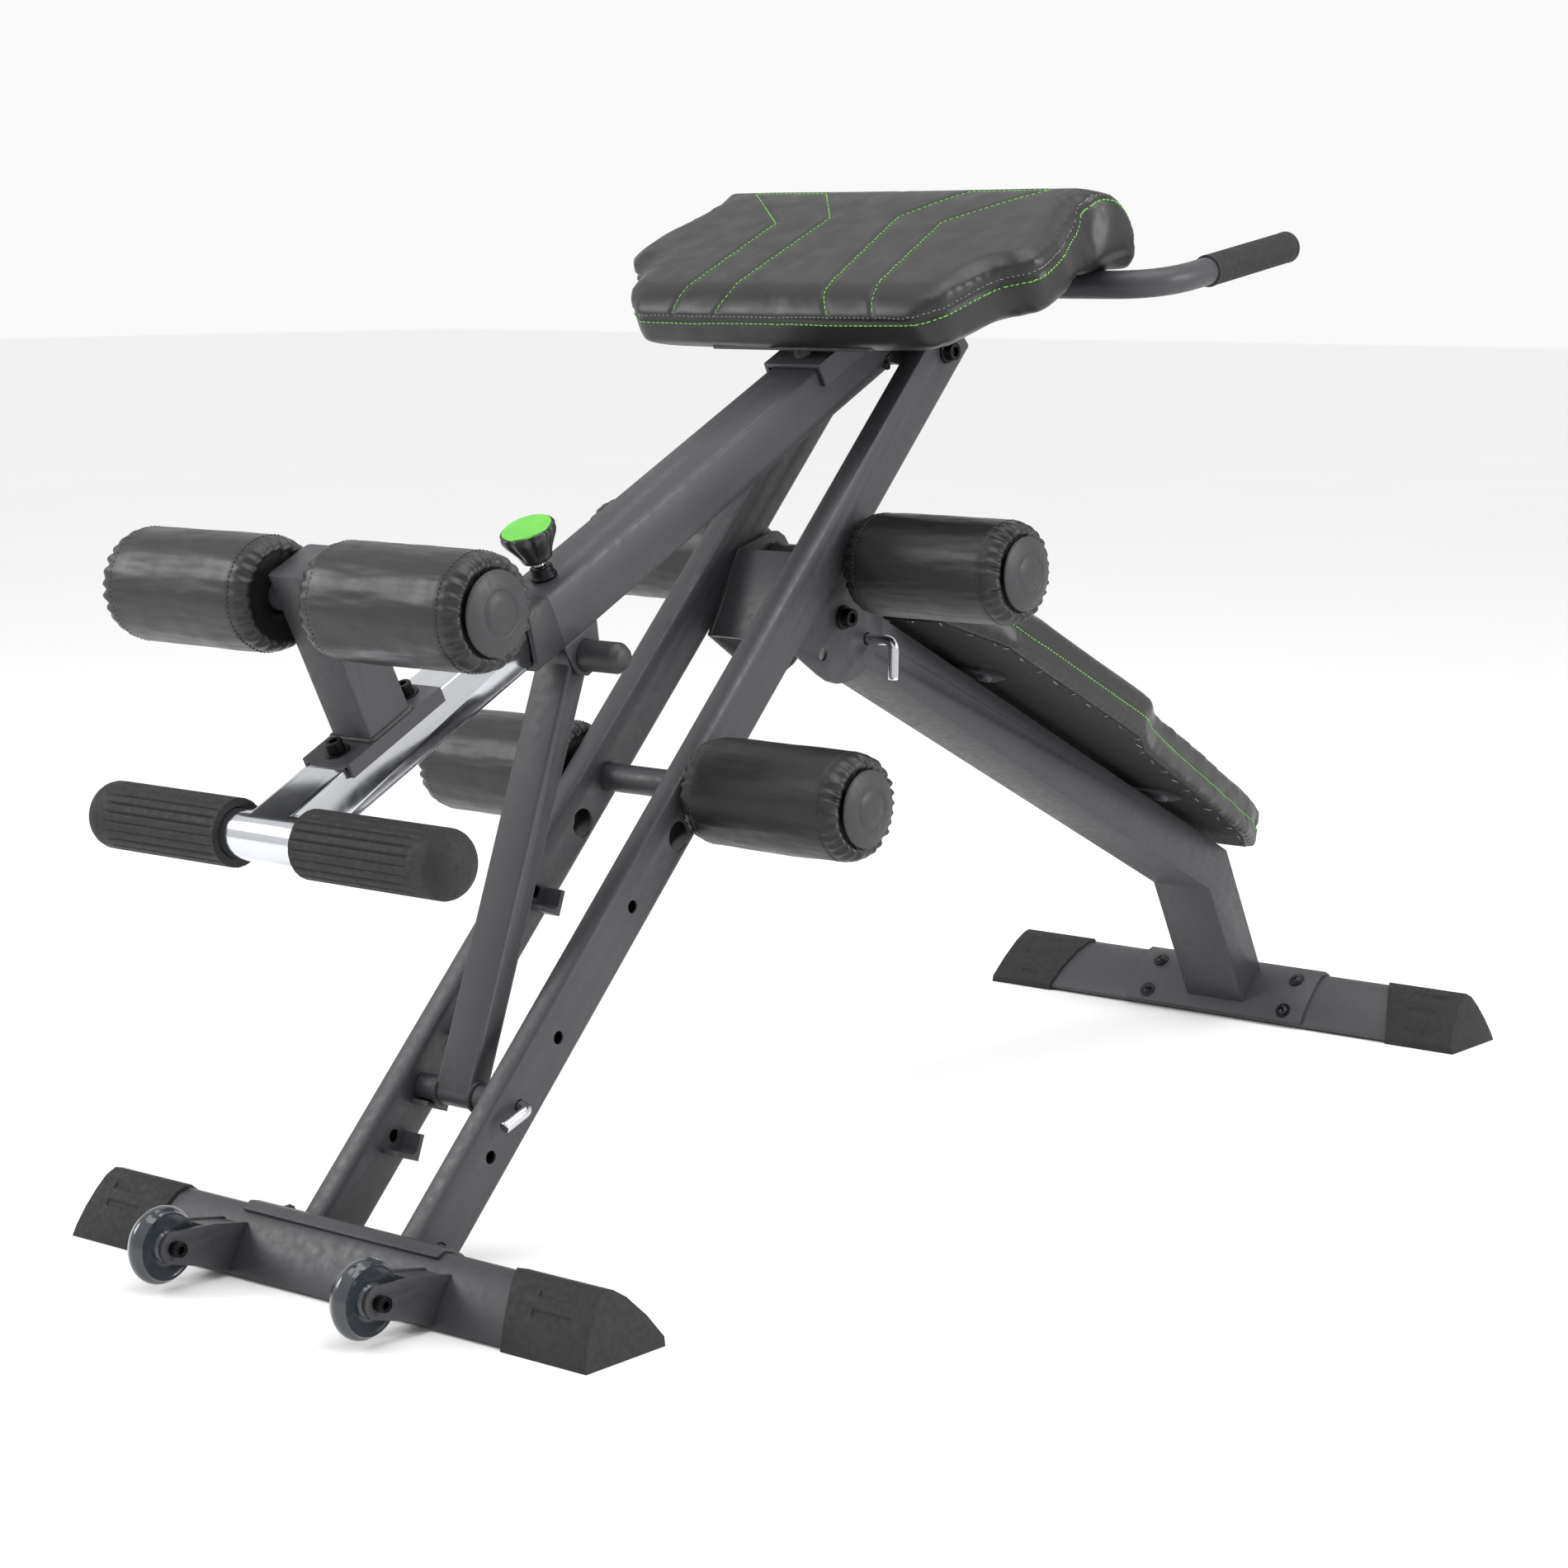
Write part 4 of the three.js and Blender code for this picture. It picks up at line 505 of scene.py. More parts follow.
# ------------------------------------------------------------------ steel carried over from the CAD
@dataclass
class Steelwork:
    """The welded frame: CAD pieces kept as they are, with soft edges and their own finishes."""

    edge: float = 1.1 * MM
    plain: dict[str, Finish] = field(default_factory=lambda: {
        "front_foot_tube": COAT, "rear_foot_tube": COAT, "front_saddle_plate": COAT,
        "rear_saddle_plate": COAT, "mast_rail_left": COAT, "mast_rail_right": COAT,
        "fold_ear_left": COAT, "fold_ear_right": COAT, "ear_cross_plate": COAT,
        "lower_roller_axle": COAT, "upper_roller_axle": COAT, "foot_roller_axle": COAT,
        "wheel_fork_left": COAT, "wheel_fork_right": COAT, "main_beam": COAT,
        "hip_pad_bracket": COAT, "roller_post": COAT, "prop_strut": COAT, "rear_beam": COAT,
        "back_pad_bracket_1": COAT, "back_pad_bracket_2": COAT, "front_foot_cap_left": SLEEVE,
        "front_foot_cap_right": SLEEVE, "rear_foot_cap_left": SLEEVE, "rear_foot_cap_right": SLEEVE,
        "top_pivot_bolt": BLACK_OXIDE, "fold_pivot_bolt": BLACK_OXIDE, "wheel_bolt_left": BLACK_OXIDE,
        "wheel_bolt_right": BLACK_OXIDE, "knob_collar": BLACK_OXIDE, "beam_bush": PLASTIC,
        "slide_tube": CHROME, "prop_pivot_rod": PLASTIC,
    })

    def dress(self) -> None:
        """Gives every kept CAD piece its finish and small edge radii."""
        for name, finish in self.plain.items():
            piece = FRAME["nodes"][name]
            piece.data.materials.clear()
            piece.data.materials.append(finish.material())
            for face in piece.data.polygons:
                face.use_smooth = True
            weld = piece.modifiers.new("weld", "WELD")
            weld.merge_threshold = 0.02 * MM
            bevel = piece.modifiers.new("edges", "BEVEL")
            bevel.width = self.edge
            bevel.segments = 2
            bevel.limit_method = "ANGLE"
            bevel.angle_limit = math.radians(32)
            bevel.use_clamp_overlap = True
            bevel.harden_normals = False
            split = piece.modifiers.new("crisp", "EDGE_SPLIT")
            split.split_angle = math.radians(34)
            LOG.info("%s dressed in %s", name, finish.name)


@dataclass
class WeldBeads:
    """Rippled fillets where the steel pieces are welded together."""

    size: float = 2.6 * MM
    pitch: float = 3.2 * MM
    count: int = 0

    def bead(self, body: str, points: list[Vector]) -> None:
        """Lays one bead along points on a body."""
        self.count += 1
        line = dense(points, 0.9 * MM)
        settle(f"weld_bead_{self.count}", swept(line, self.size, 8, 0.22, self.pitch), WELD, body, sharp=80)

    def build(self) -> None:
        """Lays the beads at ears, lugs, post and prop."""
        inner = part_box("fold_ear_right")[1][0]
        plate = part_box("ear_cross_plate")
        for side in Side:
            x = side.value * (inner - 4.5 * MM)
            low = Vector((x, plate[0][1], plate[0][2]))
            high = Vector((x, plate[1][1], plate[1][2]))
            self.bead("mast", [low.lerp(high, 0.04), low.lerp(high, 0.96)])
            lug = side.value * 31.5 * MM
            for s in (-46, 38):
                self.bead("beam", [TILT.at(lug, s * MM, 3 * MM), TILT.at(lug, s * MM, 11 * MM)])
            self.bead("beam", [TILT.at(lug, -44 * MM, 13.5 * MM), TILT.at(lug, 34 * MM, 13.5 * MM)])
            foot = side.value * 22.5 * MM
            self.bead("prop", self.round_prop_foot(foot))
        self.post_foot()

    def round_prop_foot(self, x: float) -> list[Vector]:
        """The ring where the cross tube leaves one side of the prop."""
        seat = self.prop_seat()
        r = 12.7 * MM
        return [seat + Vector((x, r * math.cos(a), r * math.sin(a)))
                for a in (math.tau * i / 28 for i in range(29))]

    def prop_seat(self) -> Vector:
        """The centre of the prop's cross tube."""
        low, high = (Vector(v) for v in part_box("prop_strut"))
        pivot = Vector(JOINTS["prop_swing"]["pos_m"])
        return Vector((0, low.y + 12.7 * MM, low.z + 12.7 * MM)) if high.z > pivot.z else low

    def post_foot(self) -> None:
        """The bead round the foot of the roller post."""
        w = 57.1 * MM
        ring = [(-25, -844), (25, -844), (25, -788), (-25, -788), (-25, -844)]
        self.bead("slide", rounded([TILT.at(x * MM, s * MM, w) for x, s in ring], 4 * MM, 4))


@dataclass
class Screws:
    """Cross-headed pan screws on washers."""

    head: float = 6.2 * MM
    washer: float = 9.5 * MM
    rear_spots: tuple[tuple[float, float], ...] = ((97.5, 755), (97.5, 786))
    front_spots: tuple[tuple[float, float], ...] = ((97.5, -688),)

    def place_one(self, name: str, body: str, spot: Vector, normal: Vector) -> None:
        """Builds one screw with its washer on a face."""
        place = basis(spot, normal)
        washer = turned([(0, 0), (self.washer, 0), (self.washer, 1.0 * MM), (self.washer - 0.4 * MM, 1.4 * MM),
                         (0, 1.4 * MM)], place, 32)
        r = self.head
        dome = [(0, 1.4 * MM), (r, 1.4 * MM)]
        dome += [(r * math.cos(a), 1.4 * MM + 3.6 * MM * math.sin(a))
                 for a in (math.radians(d) for d in (12, 28, 44, 58, 72))]
        dome += [(1.4 * MM, 4.95 * MM), (0, 4.95 * MM)]
        head = turned(dome, place, 32)
        # The cross recess is not cut: boxes in darker black oxide paint its shade onto the head.
        slots = []
        for quarter in (0, 90):
            slot = bmesh.new()
            bmesh.ops.create_cube(slot, size=1.0)
            shape = Matrix.Translation((0, 0, 4.6 * MM)) @ Matrix.Rotation(math.radians(quarter + 25), 4, "Z")
            shape = shape @ Matrix.Diagonal((6.6 * MM, 1.25 * MM, 1.6 * MM, 1))
            slot.transform(place @ shape)
            slots.append(slot)
        painted_shade_recess = joined(slots)
        settle(f"{name}_recess", painted_shade_recess, BLACK_OXIDE, body)
        settle(name, joined([washer, head]), DARK_SCREW, body)

    def build(self) -> None:
        """Drives the screws into both saddle plates."""
        for word, body, spots in (("rear", "rear", self.rear_spots), ("front", "mast", self.front_spots)):
            plate = surface(f"{word}_saddle_plate")
            for side in Side:
                for i, (x, y) in enumerate(spots):
                    start = Vector((side.value * x * MM, y * MM, 0.2))
                    hit, normal, _, _ = plate.ray_cast(start, Vector((0, 0, -1)))
                    if hit is not None:
                        self.place_one(f"{word}_plate_screw_{side.word}_{i + 1}", body, hit, normal)


@dataclass
class SocketBolts:
    """Socket-head bolts on washers that clamp the foot rollers' post to the slide."""

    stations: tuple[float, ...] = (-768, -864)
    height: float = 56.9 * MM
    head: float = 8 * MM

    def build(self) -> None:
        """Sets one bolt before and one behind the post."""
        r = self.head
        outline = [(0, 0), (12 * MM, 0), (12 * MM, 1.2 * MM), (11.6 * MM, 1.6 * MM), (r, 1.6 * MM),
                   (r, 10.6 * MM), (r - 0.8 * MM, 11.4 * MM), (4.2 * MM, 11.4 * MM), (4.2 * MM, 6 * MM),
                   (0, 6 * MM)]
        for i, station in enumerate(self.stations):
            place = basis(TILT.at(0, station * MM, self.height), TILT.out)
            settle(f"post_bolt_{i + 1}", turned(outline, place, 40), BLACK_OXIDE, "slide")
        LOG.info("post bolts set")


# ------------------------------------------------------------------ turning and sliding fittings
@dataclass
class TransportWheels:
    """Cast wheels with a crowned tread and a recessed web."""

    def build(self) -> None:
        """Spins both wheels with fine steps."""
        for side in Side:
            name = f"transport_wheel_{side.word}"
            low, high = (Vector(v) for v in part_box(name))
            r = (high.z - low.z) / 2
            half = (high.x - low.x) / 2
            profile = [(5 * MM, -half), (14 * MM, -half), (15 * MM, -half + 1 * MM), (16 * MM, -half + 3.2 * MM),
                       (r - 9 * MM, -half + 3.4 * MM), (r - 7.5 * MM, -half + 2.4 * MM),
                       (r - 5 * MM, -half + 2.0 * MM)]
            arc = [(r - 7 * MM + 7 * MM * math.cos(a), (half - 6 * MM) * math.sin(a) * 1.35)
                   for a in (math.radians(d) for d in range(-60, 61, 12))]
            profile += [(x, max(min(y, half - 2.6 * MM), -half + 2.6 * MM)) for x, y in arc]
            profile += [(x, -y) for x, y in reversed(profile[:7])]
            profile.append(profile[0])
            place = basis((low + high) / 2, Vector((1, 0, 0)))
            settle(name + "_cast", turned(profile, place, 72), URETHANE, f"wheel_{side.word}_body", (name,))


@dataclass
class FootGrips:
    """Ribbed rubber sleeves with domed ends on the slide's cross tube."""

    ribs: int = 22
    rib_depth: float = 1.7 * MM
    plain_end: float = 34 * MM

    def radius(self, r: float, x: float, length: float, angle: float) -> float:
        """The sleeve's radius at a place along and round it."""
        if x > length - self.plain_end:
            dome = (x - (length - self.plain_end)) / self.plain_end
            return r * math.sqrt(max(0.0, 1 - max(0.0, dome - 0.35) ** 2 / 0.65 ** 2))
        fade = min(1.0, (length - self.plain_end - x) / (6 * MM), x / (5 * MM) + 0.2)
        groove = max(0.0, math.cos(self.ribs * angle)) ** 3
        return r - self.rib_depth * groove * fade

    def build(self) -> None:
        """Sweeps each sleeve ring by ring."""
        around = self.ribs * 10
        for side in Side:
            name = f"foot_grip_{side.word}"
            low, high = (Vector(v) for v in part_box(name))
            r = (high.z - low.z) / 2
            length = high.x - low.x
            inner = low.x if side is Side.RIGHT else high.x
            centre = Vector((0, (low.y + high.y) / 2, (low.z + high.z) / 2))
            mesh = bmesh.new()
            stations = [0, 0.6, 2, 4, 8, 20, 50, 90, 120, 138, 144, 148, 152, 156, 160, 164, 168, 171, 174, 176.5,
                        178.5, 179.6]
            rings = []
            for station in stations:
                x = station * MM * length / (180 * MM)
                ring = []
                for k in range(around):
                    a = math.tau * k / around
                    rr = self.radius(r, x, length, a)
                    spot = centre + Vector((inner + side.value * x, rr * math.cos(a), rr * math.sin(a)))
                    ring.append(mesh.verts.new(spot))
                rings.append(ring)
            bore = [mesh.verts.new(Vector((inner, centre.y, centre.z)) + Vector((0, 23.2 * MM * math.cos(a),
                    23.2 * MM * math.sin(a)))) for a in (math.tau * k / around for k in range(around))]
            deep = [mesh.verts.new(v.co + Vector((side.value * 20 * MM, 0, 0))) for v in bore]
            rings = [deep, bore] + rings
            for first, second in zip(rings, rings[1:]):
                for k in range(around):
                    mesh.faces.new((first[k], first[(k + 1) % around], second[(k + 1) % around], second[k]))
            mesh.faces.new(rings[-1])
            mesh.faces.new(rings[0])
            bmesh.ops.recalc_face_normals(mesh, faces=mesh.faces)
            settle(name + "_ribbed", mesh, RUBBER, "slide", (name,), 60)


@dataclass
class PullKnob:
    """The knob that frees the slide: fluted head, green disc and threaded stem."""

    lobes: int = 8
    station: float = -563 * MM

    def build(self) -> None:
        """Builds head, disc and stem over the collar."""
        place = basis(TILT.at(0, self.station, 0), TILT.out)
        inverse = place.inverted()
        top = max((inverse @ v.co).z for v in FRAME["nodes"]["slide_knob"].data.vertices)
        tip = min((inverse @ v.co).z for v in FRAME["nodes"]["slide_knob"].data.vertices)
        height = 33 * MM
        base = top - height
        r = 27.5 * MM
        profile = [(0.30, 0.0), (0.52, 0.0), (0.56, 0.06), (0.58, 0.15), (0.66, 0.30), (0.80, 0.50), (0.93, 0.68),
                   (0.99, 0.80), (1.0, 0.88), (0.985, 0.94), (0.95, 0.985), (0.90, 1.0), (0.895, 0.985), (0.0, 0.985)]
        around = self.lobes * 16
        mesh = bmesh.new()
        rings = []
        for share, up in profile:
            deep = 0.10 * max(0.0, min(1.0, (up - 0.12) / 0.5)) * (1.0 if share > 0.5 else 0.0)
            ring = []
            for k in range(around):
                a = math.tau * k / around
                bite = max(0.0, math.cos(self.lobes * a)) ** 1.6
                rr = max(r * (share - deep * bite), 0.02 * MM)
                ring.append(mesh.verts.new((rr * math.cos(a), rr * math.sin(a), base + height * up)))
            rings.append(ring)
        for first, second in zip(rings, rings[1:]):
            for k in range(around):
                mesh.faces.new((first[k], first[(k + 1) % around], second[(k + 1) % around], second[k]))
        mesh.faces.new(list(reversed(rings[0])))
        bmesh.ops.remove_doubles(mesh, verts=mesh.verts, dist=0.05 * MM)
        bmesh.ops.recalc_face_normals(mesh, faces=mesh.faces)
        mesh.transform(place)
        settle("slide_knob_head", mesh, KNOB, "knob", ("slide_knob",), 40)
        stem = [(0, tip), (4.4 * MM, tip), (4.4 * MM, base - 7 * MM)]
        stem += [((5.2 if i % 2 else 4.6) * MM, base - 7 * MM + i * 0.5 * MM) for i in range(15)]
        stem += [(0, base + 0.6 * MM)]
        settle("slide_knob_stem", turned(stem, place, 32), CHROME, "knob")
        disc = [(0, top - 0.6 * MM), (24.2 * MM, top - 0.6 * MM), (24.2 * MM, top + 0.7 * MM),
                (23.6 * MM, top + 1.3 * MM), (20 * MM, top + 1.5 * MM), (0, top + 1.6 * MM)]
        settle("knob_disc_face", turned(disc, place, 64), DISC, "knob", ("knob_disc",))


@dataclass
class LockPins:
    """Bent chrome pins with rounded ends."""

    radius: float = 5.5 * MM

    def build(self) -> None:
        """Sweeps each pin along the middle of its CAD body."""
        for name, body, lean in (("hook_lock_pin", "hook_pin", 200), ("fold_lock_pin", "fold_pin", 268)):
            low, high = (Vector(v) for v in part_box(name))
            turn = Vector((0, math.cos(math.radians(lean)), math.sin(math.radians(lean))))
            reach = {200: 36 * MM, 268: 40 * MM}[lean]
            out = high.x - self.radius
            vertices = [v.co for v in FRAME["nodes"][name].data.vertices]
            tip = [v for v in vertices if v.x < low.x + 0.05 * MM]
            centre = sum((Vector(v) for v in tip), Vector()) / len(tip)
            start = Vector((low.x, centre.y, centre.z))
            corner = Vector((out, centre.y, centre.z))
            end = corner + turn * reach
            line = rounded([start, corner, end], 10 * MM, 10)
            body_mesh = swept(dense(line, 3 * MM), self.radius, 28)
            bmesh.ops.bevel(body_mesh, geom=[e for e in body_mesh.edges if len(e.link_faces) == 2
                                             and e.calc_face_angle(0) > 1.2], offset=1.4 * MM,
                            affect="EDGES", segments=3, profile=0.5, material=-1)
            settle(name + "_bent", body_mesh, CHROME, body, (name,))


@dataclass
class Handlebar:
    """One bent tube with a rubber grip on each end."""

    reach: float = 303 * MM
    corner: float = 62 * MM
    rise: float = 9.0

    def build(self) -> None:
        """Sweeps the tube and spins the grips."""
        vertices = [v.co for v in FRAME["nodes"]["handlebar"].data.vertices]
        middle = [v for v in vertices if abs(v.x) < 250 * MM]
        centre = Vector((0, (min(v.y for v in middle) + max(v.y for v in middle)) / 2,
                         (min(v.z for v in middle) + max(v.z for v in middle)) / 2))
        lean = math.radians(self.rise)
        back = Vector((0, math.cos(lean), math.sin(lean)))
        end = 242 * MM
        corners = [centre + Vector((s * self.reach, 0, 0)) for s in (-1, 1)]
        line = rounded([corners[0] + back * end, corners[0], corners[1], corners[1] + back * end], self.corner, 14)
        settle("handlebar_tube", swept(line, 14.3 * MM, 36), COAT, "beam", ("handlebar",), 60)
        for side in Side:
            name = f"hand_grip_{side.word}"
            place = basis(centre + Vector((side.value * self.reach, 0, 0)), back)
            start, stop = 86 * MM, 246 * MM
            r = 16.5 * MM
            profile = [(14.4 * MM, start), (r - 1 * MM, start), (r, start + 1 * MM), (r, start + 5 * MM),
                       (r - 0.8 * MM, start + 6 * MM)]
            x = start + 9 * MM
            while x < stop - 14 * MM:
                profile += [(r - 0.8 * MM, x), (r - 0.3 * MM, x + 0.6 * MM), (r - 0.3 * MM, x + 2.4 * MM),
                            (r - 0.8 * MM, x + 3 * MM)]
                x += 4.2 * MM
            profile += [(r - 0.4 * MM, stop - 8 * MM), (r, stop - 6 * MM), (r, stop - 3 * MM),
                        (r - 1.2 * MM, stop - 1 * MM), (r - 3.5 * MM, stop), (0, stop)]
            settle(name + "_sleeve", turned(profile, place, 48), RUBBER, "beam", (name,), 50)


@dataclass
class RollerCaps:
    """Domed end plugs of the foam rollers, with stepped rings."""

    def build(self) -> None:
        """Spins the six plugs."""
        for row, body in (("lower", "mast"), ("upper", "mast"), ("foot", "slide")):
            for side in Side:
                name = f"{row}_roller_cap_{side.word}"
                low, high = (Vector(v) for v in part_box(name))
                r = (high.z - low.z) / 2
                outer = high.x if side is Side.RIGHT else low.x
                place = basis(Vector((outer, (low.y + high.y) / 2, (low.z + high.z) / 2)),
                              Vector((side.value, 0, 0)))
                profile = [(0, -30 * MM), (10.6 * MM, -30 * MM), (10.6 * MM, -8 * MM), (r - 1.5 * MM, -8 * MM),
                           (r - 0.3 * MM, -7.4 * MM), (r, -6.4 * MM), (r - 0.6 * MM, -5.2 * MM)]
                for i in range(1, 13):
                    share = i / 12
                    profile.append((r * (1 - share * 0.42) - 0.6 * MM, -5.2 * MM + 4.6 * MM * math.sin(share * 1.4)))
                profile += [(r * 0.56, -0.7 * MM), (r * 0.54, -1.3 * MM), (r * 0.50, -1.3 * MM), (r * 0.48, -0.5 * MM),
                            (r * 0.2, -0.05 * MM), (0, 0)]
                settle(name + "_dome", turned(profile, place, 64), PLASTIC, body, (name,), 50)


# ------------------------------------------------------------------ soft goods
@dataclass
class Cushion:
    """A padded shape: the CAD solid made fine, softened and blown up by a cloth simulation."""

    node: str
    voxel: float = 5 * MM
    soften: int = 7
    pressure: float = 4.0
    swell: float = 6 * MM
    out: Vector = field(default_factory=lambda: Vector((0, 0, 1)))
    base: Vector = field(default_factory=Vector)

    def evaluated(self, holder: bpy.types.Object) -> bpy.types.Mesh:
        """The holder's mesh with its modifiers applied."""
        graph = bpy.context.evaluated_depsgraph_get()
        return bpy.data.meshes.new_from_object(holder.evaluated_get(graph))

    def fine(self) -> bpy.types.Object:
        """Remeshes and softens a copy of the CAD solid."""
        mesh = bmesh.new()
        mesh.from_mesh(FRAME["nodes"][self.node].data)
        bmesh.ops.remove_doubles(mesh, verts=mesh.verts, dist=0.01 * MM)
        data = bpy.data.meshes.new(self.node + "_soft")
        mesh.to_mesh(data)
        mesh.free()
        holder = bpy.data.objects.new(self.node + "_soft", data)
        bpy.context.collection.objects.link(holder)
        remesh = holder.modifiers.new("remesh", "REMESH")
        remesh.mode = "VOXEL"
        remesh.voxel_size = self.voxel
        smooth = holder.modifiers.new("soften", "SMOOTH")
        smooth.factor = 0.5
        smooth.iterations = self.soften
        data = self.evaluated(holder)
        holder.modifiers.clear()
        holder.data = data
        return holder

    def blow(self, holder: bpy.types.Object) -> None:
        """Runs the cloth simulation and keeps its shape, capped to a small swell."""
        rest = [v.co.copy() for v in holder.data.vertices]
        board = holder.vertex_groups.new(name="board")
        level = min((co - self.base).dot(self.out) for co in rest)
        held = [i for i, co in enumerate(rest) if (co - self.base).dot(self.out) < level + 9 * MM]
        board.add(held, 1.0, "REPLACE")
        cloth = holder.modifiers.new("cloth", "CLOTH")
        cloth.settings.quality = 4
        cloth.settings.use_pressure = True
        cloth.settings.uniform_pressure_force = self.pressure
        cloth.settings.effector_weights.gravity = 0.0
        cloth.settings.vertex_group_mass = "board"
        cloth.settings.tension_stiffness = 20
        cloth.settings.bending_stiffness = 2
        cloth.point_cache.frame_start = 1
        cloth.point_cache.frame_end = 20
        for frame in range(1, 21):
            bpy.context.scene.frame_set(frame)
        blown = self.evaluated(holder)
        bpy.context.scene.frame_set(1)
        holder.modifiers.clear()
        holder.vertex_groups.clear()
        for vertex, start in zip(blown.vertices, rest):
            move = vertex.co - start
            if move.length > self.swell:
                vertex.co = start + move * (self.swell / move.length)
        holder.data = blown

    def build(self) -> bpy.types.Object:
        """Returns the softened cushion with one subdivision."""
        holder = self.fine()
        self.blow(holder)
        smooth = holder.modifiers.new("calm", "SMOOTH")
        smooth.factor = 0.5
        smooth.iterations = 2
        finer = holder.modifiers.new("finer", "SUBSURF")
        finer.levels = 1
        finer.render_levels = 1
        data = self.evaluated(holder)
        bpy.data.objects.remove(holder)
        piece = bpy.data.objects.new(self.node + "_upholstery", data)
        bpy.context.collection.objects.link(piece)
        return piece


class Seam:
    """A sewn line on a cushion: it sinks the cover a little and carries thread."""

    def __init__(self, piece: bpy.types.Object) -> None:
        """Starts with the piece's present surface."""
        self.piece = piece
        self.refresh()

    def refresh(self) -> None:
        """Reads the piece's surface again after a change."""
        mesh = bmesh.new()
        mesh.from_mesh(self.piece.data)
        self.tree = BVHTree.FromBMesh(mesh)
        mesh.free()

    def drawn(self, points: list[Vector], step: float) -> list[tuple[Vector, Vector]]:
        """Lays a line of rough points onto the surface.

        Args:
            points: The line, near the surface.
            step: Spacing of the result.

        Returns:
            Points on the surface with the surface's normals.
        """
        out = []
        for point in dense(points, step):
            spot, normal, _, _ = self.tree.find_nearest(point)
            out.append((spot, normal))
        return out

    def sink(self, lines: list[list[Vector]], depth: float, width: float) -> None:
        """Presses the cover in along lines."""
        marks = [spot for line in lines for spot, _ in self.drawn(line, 1.5 * MM)]
        near = KDTree(len(marks))
        for i, spot in enumerate(marks):
            near.insert(spot, i)
        near.balance()
        for vertex in self.piece.data.vertices:
            _, _, gap = near.find(vertex.co)
            if gap < width:
                vertex.co -= vertex.normal * (depth * (1 - (gap / width) ** 2) ** 2)
        self.piece.data.update()
        self.refresh()

    def thread(self, name: str, line: list[Vector], finish: Finish, body: str, stitch: float = 4.4 * MM,
               pitch: float = 6.2 * MM, thick: float = 0.55 * MM) -> None:
        """Sews a row of separate stitches along a line."""
        path = self.drawn(line, 0.7 * MM)
        run = 0.0
        parts: list[bmesh.types.BMesh] = []
        current: list[Vector] = []
        for (a, normal), (b, _) in zip(path, path[1:]):
            run += (b - a).length
            phase = run % pitch
            if phase < stitch:
                lift = thick * (0.15 + 0.75 * math.sin(math.pi * phase / stitch))
                current.append(a + normal * lift)
            elif current:
                if len(current) > 2:
                    parts.append(swept([current[0], current[len(current) // 2], current[-1]], thick, 6))
                current = []
        if parts:
            settle(name, joined(parts), finish, body, sharp=80)


GREY_THREAD = Thread("grey_thread", "vinyl", "#8c8c8e", "#626264")


@dataclass
class HipPad:
    """The waisted hip pad with its roll, strips of green stitching and a double edge seam."""

    strip: tuple[tuple[float, float], ...] = ((72, -158), (61, -140), (44, 22), (94, 84), (192, 86), (108, 10),
                                              (118, -118), (129, -158))
    edge_height: float = 117 * MM
    half: tuple[tuple[float, float], ...] = ((0, -169), (174, -169), (186, -156), (202, -144), (220, -102),
                                             (230, -82), (262, -64), (270, -50), (266, -12), (252, 28))

    def build(self) -> None:
        """Blows the pad up, then sews it."""
        cushion = Cushion("hip_pad", 5 * MM, 8, out=TILT.out, base=TILT.origin)
        pad = cushion.build()
        seam = Seam(pad)
        strips = []
        for side in Side:
            strips.append([TILT.at(side.value * x * MM, s * MM, (136 if s > -150 else 124) * MM)
                           for x, s in self.strip])
        rim = [TILT.at(x * MM, s * MM, self.edge_height) for x, s in self.half]
        roll = [(254, 40, 117), (247, 52, 122), (246, 62, 131), (248, 78, 133), (249, 98, 129), (249, 116, 119),
                (249, 132, 100), (249, 139, 78), (249, 134, 58)]
        right = rim + [TILT.at(x * MM, s * MM, w * MM) for x, s, w in roll]
        left = [Vector((-p.x, p.y, p.z)) for p in right]
        seam.sink(strips, 1.3 * MM, 6 * MM)
        seam.sink([right, left], 1.8 * MM, 5 * MM)
        for face in pad.data.polygons:
            face.use_smooth = True
        pad.data.materials.clear()
        pad.data.materials.append(VINYL.material())
        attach(pad, "beam")
        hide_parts("hip_pad")
        for word, line in (("right", strips[1]), ("left", strips[0])):
            seam.thread(f"hip_pad_strip_{word}", line, THREAD, "beam")
        lower = TILT.out * (-3.4 * MM)
        upper = TILT.out * (3.0 * MM)
        for word, line in (("right", right), ("left", left)):
            seam.thread(f"hip_pad_edge_green_{word}", [p + lower for p in line], THREAD, "beam")
            seam.thread(f"hip_pad_edge_grey_{word}", [p + upper for p in line], GREY_THREAD, "beam",
                        3.0 * MM, 5.6 * MM, 0.4 * MM)
        LOG.info("hip pad sewn")


